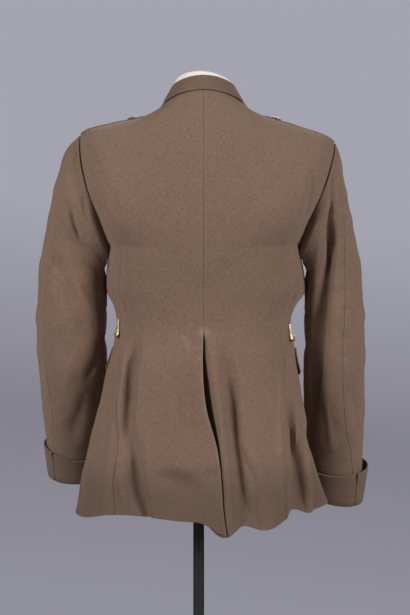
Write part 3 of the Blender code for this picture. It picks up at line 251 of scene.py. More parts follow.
@dataclass(frozen=True)
class Creases:
    """Soft uneven troughs and ridges laid on a surface.

    A row is: run and turn where the crease starts, run and turn where it ends, then its sideways bow, half
    width and height in millimetres. A negative height is a trough.
    """

    rows: Rows
    length: float  # metres to one unit of run
    radius: float  # metres to one radian of turn
    waves: Rows = rows_of("""
        .23 3 .4 .75 | .14 -6 2.1 .5 | .083 10 4 .3 | .061 -17 1.2 .2 | .034 28 5.1 .1 | .025 -35 3.3 .07
    """)  # wavelength down, waves round, phase, and height in millimetres

    def height(self, run: Array, turn: Array) -> Array:
        """How far the creases and the cloth's own unevenness move each point outwards.

        Args:
            run: runs of the points.
            turn: their turns, in radians.

        Returns:
            Heights in metres.
        """
        run, turn = np.broadcast_arrays(run, turn)
        total = np.zeros(run.shape)
        for number, (run_0, turn_0, run_1, turn_1, bow, half, high) in enumerate(self.rows):
            middle = radians((turn_0 + turn_1) / 2)
            local = np.mod(turn - middle + pi, 2 * pi) - pi + middle
            down = (run - run_0) * self.length
            over = (local - radians(turn_0)) * self.radius
            along = (run_1 - run_0) * self.length, radians(turn_1 - turn_0) * self.radius
            long = hypot(*along)
            way = (down * along[0] + over * along[1]) / long ** 2
            sideways = (over * along[0] - down * along[1]) / long
            part = np.clip(way, 0.0, 1.0)
            sideways = sideways - bow * MM * (4 * part * (1 - part) + 0.3 * np.sin(9 * part + number))
            width = half * MM * (1 + 0.22 * np.sin(7 * part + 1.7 * number))
            fade = ease(way / 0.35) * ease((1 - way) / 0.35)
            total += high * MM * fade * np.exp(-(sideways / width) ** 2)
        for long_down, count, phase, high in self.waves:
            total += high * MM * np.sin(2 * pi * run * self.length / long_down + count * turn + phase)
        return total


@dataclass(frozen=True)
class Gully:
    """A long winding fold: rows of run, turn, half width and height in millimetres."""

    rows: Rows
    radius: float  # metres to one radian of turn

    def height(self, run: Array, turn: Array) -> Array:
        """How far the fold moves each point outwards, in metres."""
        table = Table("run turn half height", self.rows)
        level = table.at(run)
        inside = (run >= table.keys[0]) & (run <= table.keys[-1])
        centre = np.radians(level["turn"])
        across = (np.mod(turn - centre + pi, 2 * pi) - pi) * self.radius
        shape = np.exp(-np.abs(across / (level["half"] * MM)) ** 2.6)
        return np.where(inside, level["height"] * MM * shape, 0.0)


# ---- finishes

class Shading:
    """A material's node tree, with short ways to add and join its nodes."""

    def __init__(self, name: str) -> None:
        """Starts a material of the given name with its Principled shader."""
        self.material = bpy.data.materials.new(name)
        self.material.use_nodes = True
        self.tree = self.material.node_tree
        self.shader = self.tree.nodes["Principled BSDF"]

    def add(self, kind: str, inputs: dict | None = None, **settings: object) -> Node:
        """Adds a node.

        Args:
            kind: the node's type without "ShaderNode".
            inputs: values or joined outputs for its inputs, by name or number.
            settings: properties of the node.

        Returns:
            The node.
        """
        node = self.tree.nodes.new("ShaderNode" + kind)
        for name, value in settings.items():
            setattr(node, name, value)
        for name, value in (inputs or {}).items():
            self.put(node, name, value)
        return node

    def put(self, node: Node, name: str | int, value: object) -> None:
        """Sets or joins one input of a node."""
        if isinstance(value, Socket):
            self.tree.links.new(value, node.inputs[name])
        else:
            node.inputs[name].default_value = value

    def finish(self, inputs: dict) -> Material:
        """Sets or joins inputs of the shader and gives the material."""
        for name, value in inputs.items():
            self.put(self.shader, name, value)
        return self.material

    def place(self) -> Socket:
        """Where a point is on its object."""
        return self.add("TexCoord").outputs["Object"]

    def flat_place(self) -> Socket:
        """Where a point is on its flat cut."""
        return self.add("UVMap", uv_map="UVMap").outputs[0]

    def bands(self, place: Socket, scale: float, way: str, distortion: float, detail: float,
              fineness: float = 1.0) -> Socket:
        """Wavy bands across X or Y at a place."""
        inputs = {0: place, "Scale": scale, "Distortion": distortion, "Detail": detail,
                  "Detail Scale": fineness}
        return self.add("TexWave", inputs, bands_direction=way).outputs["Fac"]

    def bump(self, height: Socket, strength: float, distance: float, base: Socket | None = None) -> Socket:
        """A normal with small relief on it, on top of another one if given."""
        inputs = {"Height": height, "Strength": strength, "Distance": distance}
        return self.add("Bump", inputs | ({} if base is None else {"Normal": base})).outputs[0]

    def noise(self, place: Socket, scale: float, detail: float, rough: float = 0.5) -> Socket:
        """Noise at a place, with the given fineness."""
        inputs = {0: place, "Scale": scale, "Detail": detail, "Roughness": rough}
        return self.add("TexNoise", inputs).outputs[0]

    def ramp(self, factor: Socket, stops: Sequence[tuple[float, tuple]]) -> Socket:
        """A colour ramp.

        Args:
            factor: what it reads.
            stops: place and colour of each stop.

        Returns:
            Its colour output.
        """
        node = self.add("ValToRGB", {0: factor})
        elements = node.color_ramp.elements
        while len(elements) < len(stops):
            elements.new(0.5)
        for element, (place, colour) in zip(elements, stops):
            element.position, element.color = place, (*colour, 1.0)
        return node.outputs[0]

    def mix(self, factor: object, first: object, second: object, blend: str = "MIX") -> Socket:
        """Mixes two colours.

        Args:
            factor: share of the second, as a number or an output.
            first: colour or output.
            second: colour or output.
            blend: the mix's blend type.

        Returns:
            The mixed colour's output.
        """
        node = self.add("Mix", data_type="RGBA", blend_type=blend)
        for socket, value in ((node.inputs[0], factor), (node.inputs[6], first), (node.inputs[7], second)):
            if isinstance(value, Socket):
                self.tree.links.new(value, socket)
            elif isinstance(value, tuple) and len(value) == 3:
                socket.default_value = (*value, 1.0)
            else:
                socket.default_value = value
        return node.outputs[2]

    def maths(self, operation: str, *values: object) -> Socket:
        """The output of a sum of one to three values or outputs."""
        return self.add("Math", dict(enumerate(values)), operation=operation).outputs[0]


@dataclass(frozen=True)
class WoolTwill:
    """Brown-olive wool twill with slanting ribs, a faint nap, worn pale places, painted highlights on lit
    edges and painted shade.
    """

    name: str = "wool_twill"
    warm: tuple = (0.205, 0.132, 0.100)
    olive: tuple = (0.180, 0.120, 0.086)
    # colour that painted shade darkens the cloth towards
    shade: tuple = (0.075, 0.050, 0.037)
    # pale colour of worn places and of painted highlights on lit edges
    wear_and_highlight_colour: tuple = (0.42, 0.33, 0.25)
    rib_pitch: float = 0.0015  # metres between two ribs
    rib_slope: float = 58.0  # degrees of the ribs from the weft
    streak_width: float = 0.0045  # metres across a streak along the ribs
    blotch_size: float = 0.16  # metres across a patch of slightly other colour
    roughness: float = 0.92
    sheen: float = 0.22

    def material(self) -> Material:
        """Builds the material."""
        make = Shading(self.name)
        uv = make.flat_place()
        turned = make.add("Mapping", {0: uv, 2: (0.0, 0.0, radians(90 - self.rib_slope))}).outputs[0]
        wave_scale = 2 * pi / 20 / self.rib_pitch
        ribs = make.bands(turned, wave_scale, "X", 1.4, 2.0, 2.2)
        weft = make.bands(uv, wave_scale * 1.4, "Y", 1.0, 1.0, 2.0)
        stretched = make.add("Mapping", {0: turned, 3: (1.0, 0.12, 1.0)}).outputs[0]
        streaks = make.noise(stretched, 1 / self.streak_width, 3.0, 0.6)
        grain = make.noise(uv, 620.0, 3.0, 0.7)
        place = make.place()
        blotch = make.noise(place, 1 / self.blotch_size, 3.0, 0.55)
        mottle = make.noise(place, 290.0, 2.0, 0.7)

        base = make.mix(make.ramp(blotch, ((0.26, (0, 0, 0)), (0.74, (1, 1, 1)))), self.olive, self.warm)
        for pattern, share, stops in (
                (ribs, 0.75, ((0.0, (0.62, 0.61, 0.60)), (0.45, (1.0, 1.0, 1.0)), (1.0, (1.20, 1.20, 1.19)))),
                (streaks, 0.28, ((0.30, (0.86, 0.86, 0.85)), (0.72, (1.12, 1.12, 1.12)))),
                (mottle, 0.9, ((0.30, (0.80, 0.79, 0.78)), (0.70, (1.17, 1.17, 1.17)))),
                (grain, 0.7, ((0.28, (0.78, 0.77, 0.76)), (0.74, (1.20, 1.20, 1.19))))):
            base = make.mix(share, base, make.ramp(pattern, stops), "MULTIPLY")
        # worn places and painted highlights on lit edges, made paler
        wear_and_highlight = make.add("Attribute", attribute_name="wear_and_highlight").outputs["Fac"]
        rubbed = make.maths("MULTIPLY", wear_and_highlight, make.maths("MULTIPLY_ADD", grain, 1.5, -0.1))
        base = make.mix(make.maths("MINIMUM", rubbed, 1.0), base, self.wear_and_highlight_colour)
        # painted shade, and the collar's darker tone, mixed towards the shade colour
        shade_and_tone_share = make.add("Attribute", attribute_name="shade_and_tone").outputs["Fac"]
        relief = make.maths("ADD", make.maths("MULTIPLY", ribs, 0.6), make.maths("MULTIPLY", weft, 0.2))
        relief = make.maths("ADD", relief, make.maths("MULTIPLY", grain, 0.5))
        return make.finish({
            "Base Color": make.mix(shade_and_tone_share, base, self.shade), "Roughness": self.roughness,
            "Sheen Weight": self.sheen, "Sheen Roughness": 0.5, "Sheen Tint": (0.95, 0.86, 0.76, 1.0),
            "Specular IOR Level": 0.18,
            "Normal": make.bump(mottle, 0.35, 0.0008, make.bump(relief, 0.5, 0.0004))})


@dataclass(frozen=True)
class Thread:
    """Sewing thread, a shade lighter than the cloth."""

    name: str = "thread"
    colour: tuple = (0.150, 0.105, 0.072)
    twist: float = 1400.0  # scale of the twist's fine bands

    def material(self) -> Material:
        """Builds the material."""
        make = Shading(self.name)
        place = make.place()
        twist = make.noise(place, self.twist, 2.0)
        shade = make.ramp(twist, ((0.35, tuple(0.7 * c for c in self.colour)), (0.65, self.colour)))
        return make.finish({"Base Color": shade, "Roughness": 0.7})


@dataclass(frozen=True)
class AgedBrass:
    """Dull brass with darker tarnish in patches and a few fine scratches."""

    name: str = "aged_brass"
    bright: tuple = (0.62, 0.52, 0.33)
    tarnish: tuple = (0.30, 0.23, 0.13)

    def material(self) -> Material:
        """Builds the material."""
        make = Shading(self.name)
        place = make.place()
        patches = make.noise(place, 190.0, 5.0, 0.6)
        scratch_way = make.add("Mapping", {0: place, 3: (1.0, 1.0, 0.08)}).outputs[0]
        scratches = make.noise(scratch_way, 1500.0, 2.0)
        return make.finish({
            "Base Color": make.ramp(patches, ((0.33, self.tarnish), (0.60, self.bright))), "Metallic": 1.0,
            "Roughness": make.maths("MULTIPLY_ADD", patches, -0.35, 0.55),
            "Normal": make.bump(scratches, 0.25, 0.0001)})


@dataclass(frozen=True)
class Jersey:
    """White cotton jersey, stretched smooth, with fine knitted ribs."""

    name: str = "white_jersey"
    colour: tuple = (0.86, 0.84, 0.81)
    pitch: float = 0.0011  # metres between two ribs of the knit

    def material(self) -> Material:
        """Builds the material."""
        make = Shading(self.name)
        uv = make.flat_place()
        scale = 2 * pi / 20 / self.pitch
        ribs = make.bands(uv, scale, "X", 0.8, 1.0)
        rows = make.bands(uv, scale * 1.3, "Y", 0.8, 1.0)
        place = make.place()
        cloud = make.noise(place, 14.0, 4.0)
        colour = make.ramp(cloud, ((0.35, tuple(0.94 * c for c in self.colour)), (0.65, self.colour)))
        colour = make.mix(0.35, colour, make.ramp(ribs, ((0.0, (0.82, 0.82, 0.82)), (0.6, (1, 1, 1)))),
                          "MULTIPLY")
        relief = make.maths("ADD", make.maths("MULTIPLY", ribs, 0.6), make.maths("MULTIPLY", rows, 0.4))
        return make.finish({"Base Color": colour, "Roughness": 0.85, "Sheen Weight": 0.15,
                            "Normal": make.bump(relief, 0.35, 0.0003)})


@dataclass(frozen=True)
class BlackPaint:
    """Satin black paint on steel, slightly uneven, with a few rubbed spots."""

    name: str = "black_paint"
    colour: tuple = (0.013, 0.013, 0.016)
    rubbed: tuple = (0.050, 0.050, 0.055)

    def material(self) -> Material:
        """Builds the material."""
        make = Shading(self.name)
        place = make.place()
        patches = make.noise(place, 60.0, 6.0, 0.65)
        peel = make.noise(place, 700.0, 2.0)
        return make.finish({
            "Base Color": make.ramp(patches, ((0.60, self.colour), (0.78, self.rubbed))),
            "Roughness": make.maths("MULTIPLY_ADD", patches, 0.3, 0.26),
            "Normal": make.bump(peel, 0.2, 0.0002)})


@dataclass(frozen=True)
class PaleFloor:
    """Plain pale floor of the studio."""

    name: str = "pale_floor"
    colour: tuple = (0.44, 0.44, 0.49)

    def material(self) -> Material:
        """Builds the material."""
        make = Shading(self.name)
        place = make.place()
        cloud = make.noise(place, 1.6, 3.0)
        pale = tuple(1.05 * c for c in self.colour)
        return make.finish({"Base Color": make.ramp(cloud, ((0.3, self.colour), (0.7, pale))),
                            "Roughness": 0.8})


class Wardrobe:
    """Every finish's material, made once."""

    def __init__(self) -> None:
        """Builds the materials."""
        self.wool = WoolTwill().material()
        self.thread = Thread().material()
        self.brass = AgedBrass().material()
        self.jersey = Jersey().material()
        self.paint = BlackPaint().material()
        self.floor = PaleFloor().material()


# ---- meshes

def add_mesh(name: str, points: Array, faces: list, material: Material,
             uv: Array | None = None, marks: dict[str, Array] | None = None,
             sharp: float = 50.0) -> Object:
    """Adds one smooth-shaded piece.

    Args:
        name: the piece's name.
        points: its points, before the centre shift.
        faces: its faces, by point numbers.
        material: its finish.
        uv: flat place of each point or of each face's corner, in metres.
        marks: further named values of each point.
        sharp: angle above which an edge stays sharp, in degrees.

    Returns:
        The piece's object.
    """
    mesh = bpy.data.meshes.new(name)
    mesh.from_pydata((np.asarray(points) + CENTRE_SHIFT).tolist(), [], faces)
    mesh.shade_smooth()
    mesh.set_sharp_from_angle(angle=radians(sharp))
    if uv is not None:
        flat = np.asarray(uv, dtype=np.float32)
        if len(flat) != len(mesh.loops):
            corners = np.zeros(len(mesh.loops), dtype=np.int32)
            mesh.loops.foreach_get("vertex_index", corners)
            flat = flat[corners]
        mesh.uv_layers.new(name="UVMap").data.foreach_set("uv", flat.ravel())
    for mark, values in (marks or {}).items():
        made = mesh.attributes.new(mark, "FLOAT", "POINT")
        made.data.foreach_set("value", np.asarray(values).astype(np.float32).ravel())
    mesh.materials.append(material)
    piece = bpy.data.objects.new(name, mesh)
    bpy.context.scene.collection.objects.link(piece)
    return piece


def hand_over(piece: Object, slot: str, *nodes: str) -> Object:
    """Fixes a piece to the part in place of its nodes, and reports it."""
    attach(piece, "root")
    if nodes:
        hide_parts(*nodes)
    LOG.info("%s: %d faces", piece.name, len(piece.data.polygons))
    return piece


@dataclass
class Sheet:
    """One piece of cloth: a grid of points of its outer face, with outward normals."""

    name: str
    points: Array
    normals: Array
    edges: dict[Border, Edge | Array]  # a finish, or the radius of the roll in each row
    thick: float = 0.0019
    direction: float = 1.0  # -1 where the weft runs against the rows
    # pale wear, and painted highlight along lit edges, from 0 to 1
    wear_and_highlight: Array | None = None
    # darkening towards the shade colour, from 0 to 1: painted shade on the trunk and cuffs, a plain darker
    # tone on the collar
    shade_and_tone: Array | None = None
    held: str = "hung"
    rests_on: tuple[str, ...] = ("form",)
    cut: tuple[float, float, float] = (0.0, 0.0, 0.0)

    def margin(self, border: Border) -> Array:
        """Distance of each point from a border, in metres."""
        lengths = arc(self.points, 0 if border in (Border.TOP, Border.BOTTOM) else 1)
        if border in (Border.TOP, Border.START):
            return lengths
        last = lengths[-1:, :] if border is Border.BOTTOM else lengths[:, -1:]
        return last - lengths

    def path(self, border: Border, inset: float, lift: float = 0.00005, first: float = 0.0,
             last: float = 1.0) -> Array:
        """A line of points beside a border.

        Args:
            border: which border it follows.
            inset: its distance from the border, in metres.
            lift: its height above the cloth.
            first: share of the border where it starts.
            last: share where it ends.

        Returns:
            Points of the line.
        """
        margin, points = self.margin(border), self.points + self.normals * lift
        if border in (Border.TOP, Border.BOTTOM):
            margin, points = margin.T, points.transpose(1, 0, 2)
        if border in (Border.END, Border.BOTTOM):
            margin, points = margin[:, ::-1], points[:, ::-1]
        line = np.array([[np.interp(inset, far, row[:, axis]) for axis in range(3)]
                         for far, row in zip(margin, points)])
        count = len(line) - 1
        return line[int(round(first * count)):int(round(last * count)) + 1]

    def draw_in(self, distance: float) -> None:
        """Moves the starting and the ending edge inwards."""
        for first, second in ((0, 1), (-1, -2)):
            self.points[:, first] += unit(self.points[:, second] - self.points[:, first]) * distance

    def build(self, material: Material) -> Object:
        """Makes the piece's mesh: outer face with rolled edges, inner face and rim.

        Args:
            material: its finish.

        Returns:
            The piece's object.
        """
        rows, columns = self.points.shape[:2]
        drop = np.zeros((rows, columns))
        for border, edge in self.edges.items():
            radius = edge.radius if isinstance(edge, Edge) else edge
            near = np.clip(1 - self.margin(border) / radius, 0.0, 1.0)
            drop = np.maximum(drop, radius * (1 - np.sqrt(1 - near ** 2)))
        outer = self.points - self.normals * drop[..., None]
        inner = self.points - self.normals * np.maximum(self.thick, drop + 0.0003)[..., None]
        along, down = arc(self.points, 1), np.mean(arc(self.points, 0), axis=1, keepdims=True)
        sizes = np.linalg.norm(np.cross(np.diff(self.points, axis=0)[:, :-1],
                                        np.diff(self.points, axis=1)[:-1]), axis=-1)
        width, length = float(along[:, -1].max()), float(arc(self.points, 0)[-1].max())
        self.cut = (width, length, float(sizes.sum()))
        flat = np.stack([self.direction * along, -down + 0 * along], axis=-1)

        index = np.arange(rows * columns).reshape(rows, columns)
        corner = self.points[-1, -1]
        if np.cross(corner - self.points[-2, -1], corner - self.points[-1, -2]) @ self.normals[-1, -1] < 0:
            index = index[:, ::-1]
        below = index + rows * columns
        quads = np.stack([index[:-1, :-1], index[1:, :-1], index[1:, 1:], index[:-1, 1:]], axis=-1)
        under = np.stack([below[:-1, :-1], below[:-1, 1:], below[1:, 1:], below[1:, :-1]], axis=-1)
        faces = quads.reshape(-1, 4).tolist() + under.reshape(-1, 4).tolist()
        rim = np.concatenate([index[0, :-1], index[:-1, -1], index[-1, :0:-1], index[:0:-1, 0]])
        after = np.roll(rim, -1)
        faces += np.stack([rim, after, after + rows * columns, rim + rows * columns], axis=-1).tolist()
        marks = {}
        for mark, values in (("wear_and_highlight", self.wear_and_highlight), ("shade_and_tone", self.shade_and_tone)):
            values = np.zeros((rows, columns)) if values is None else np.broadcast_to(values, (rows, columns))
            marks[mark] = np.concatenate([values.ravel(), values.ravel()])
        points = np.concatenate([outer.reshape(-1, 3), inner.reshape(-1, 3)])
        uv = np.concatenate([flat.reshape(-1, 2), flat.reshape(-1, 2)])
        return add_mesh(self.name + "_piece", points, faces, material, uv, marks)

    def dress(self, wardrobe: Wardrobe, stitches: "StitchTree", lines: Sequence[Array] = ()) -> None:
        """Builds the piece in place of its node, works out its cut and sews it.

        Args:
            wardrobe: the finishes.
            stitches: what lays the stitches.
            lines: where it is sewn.
        """
        piece = hand_over(self.build(wardrobe.wool), "wool", self.name)
        if lines:
            stitches.sew("stitches_" + self.name, lines, wardrobe.thread)


def turned(name: str, profile: Sequence[tuple[float, float]], place: Array, axis: Array,
           material: Material, sides: int = 48) -> Object:
    """A solid turned about an axis.

    Args:
        name: the piece's name.
        profile: radius and height of each ring, from the underside to the top.
        place: where height 0 is.
        axis: its direction.
        material: its finish.
        sides: points round each ring.

    Returns:
        The piece's object.
    """
    axis = unit(np.asarray(axis, dtype=float))
    across = unit(np.cross(axis, (0.0, 1.0, 0.0) if abs(axis[2]) > 0.9 else (0.0, 0.0, 1.0)))
    beside = np.cross(axis, across)
    angle = 2 * pi * np.arange(sides) / sides
    round_about = across * np.cos(angle)[:, None] + beside * np.sin(angle)[:, None]
    points = np.concatenate([np.asarray(place) + axis * height + radius * round_about
                             for radius, height in profile])
    faces = [list(range(sides))[::-1], [len(points) - sides + step for step in range(sides)]]
    for row in range(len(profile) - 1):
        for step in range(sides):
            after = (step + 1) % sides
            faces.append([row * sides + step, row * sides + after,
                          (row + 1) * sides + after, (row + 1) * sides + step])
    return add_mesh(name, points, faces, material, sharp=35.0)


# ---- stitches

@dataclass
class StitchTree:
    """A Geometry Nodes tree that lays separate stitches along every line of a mesh."""

    pitch: float = 0.0031  # from one stitch to the next
    length: float = 0.0024
    width: float = 0.00042
    seed: int = 7
    sockets: dict[str, str] = field(default_factory=dict)

    def __post_init__(self) -> None:
        """Builds the tree with its named inputs."""
        self.tree = bpy.data.node_groups.new("stitch_rows", "GeometryNodeTree")
        face = self.tree.interface
        for name, kind in (("Geometry", "Geometry"), ("Pitch", "Float"), ("Length", "Float"),
                           ("Width", "Float"), ("Seed", "Int"), ("Thread", "Material")):
            socket = face.new_socket(name, in_out="INPUT", socket_type="NodeSocket" + kind)
            self.sockets[name] = socket.identifier
        face.new_socket("Geometry", in_out="OUTPUT", socket_type="NodeSocketGeometry")
        nodes, links = self.tree.nodes, self.tree.links
        kinds = ("NodeGroupInput NodeGroupOutput GeometryNodeMeshToCurve GeometryNodeResampleCurve "
                 "GeometryNodeMeshUVSphere ShaderNodeCombineXYZ GeometryNodeInputTangent "
                 "FunctionNodeAlignEulerToVector FunctionNodeRandomValue ShaderNodeVectorMath "
                 "GeometryNodeInstanceOnPoints GeometryNodeRealizeInstances GeometryNodeSetMaterial")
        source, sink, curve, spread, ball, size, tangent, turn, wobble, added, place, real, finish = (
            nodes.new(kind) for kind in kinds.split())
        spread.mode = "LENGTH"
        ball.inputs["Segments"].default_value, ball.inputs["Rings"].default_value = 6, 4
        ball.inputs["Radius"].default_value = 0.5
        turn.axis = "Z"
        wobble.data_type = "FLOAT_VECTOR"
        wobble.inputs[0].default_value, wobble.inputs[1].default_value = (-0.07,) * 3, (0.07,) * 3
        for start, out, end, into in (
                (source, "Geometry", curve, "Mesh"), (curve, "Curve", spread, "Curve"),
                (source, "Pitch", spread, "Length"), (spread, "Curve", place, "Points"),
                (ball, "Mesh", place, "Instance"), (source, "Width", size, "X"), (source, "Width", size, "Y"),
                (source, "Length", size, "Z"), (size, 0, place, "Scale"), (tangent, 0, added, 0),
                (wobble, 0, added, 1), (source, "Seed", wobble, "Seed"), (added, 0, turn, "Vector"),
                (turn, 0, place, "Rotation"), (place, "Instances", real, "Geometry"),
                (real, "Geometry", finish, "Geometry"), (source, "Thread", finish, "Material"),
                (finish, "Geometry", sink, "Geometry")):
            links.new(start.outputs[out], end.inputs[into])

    def sew(self, name: str, lines: Iterable[Array], thread: Material) -> None:
        """Lays stitches along lines and makes them one plain mesh.

        Args:
            name: the piece's name.
            lines: lines of points, before the centre shift.
            thread: the thread's finish.
        """
        points, edges = [], []
        for line in lines:
            edges += [(len(points) + step, len(points) + step + 1) for step in range(len(line) - 1)]
            points += (np.asarray(line) + CENTRE_SHIFT).tolist()
        mesh = bpy.data.meshes.new(name + "_lines")
        mesh.from_pydata(points, edges, [])
        carrier = bpy.data.objects.new(name + "_lines", mesh)
        bpy.context.scene.collection.objects.link(carrier)
        modifier = carrier.modifiers.new("stitches", "NODES")
        modifier.node_group = self.tree
        for key, value in (("Pitch", self.pitch), ("Length", self.length), ("Width", self.width),
                           ("Seed", self.seed), ("Thread", thread)):
            modifier[self.sockets[key]] = value
        evaluated = carrier.evaluated_get(bpy.context.evaluated_depsgraph_get())
        made = bpy.data.meshes.new_from_object(evaluated)
        made.name = name
        made.shade_smooth()
        bpy.data.objects.remove(carrier, do_unlink=True)
        piece = bpy.data.objects.new(name, made)
        bpy.context.scene.collection.objects.link(piece)
        hand_over(piece, "wool")


# ---- trunk

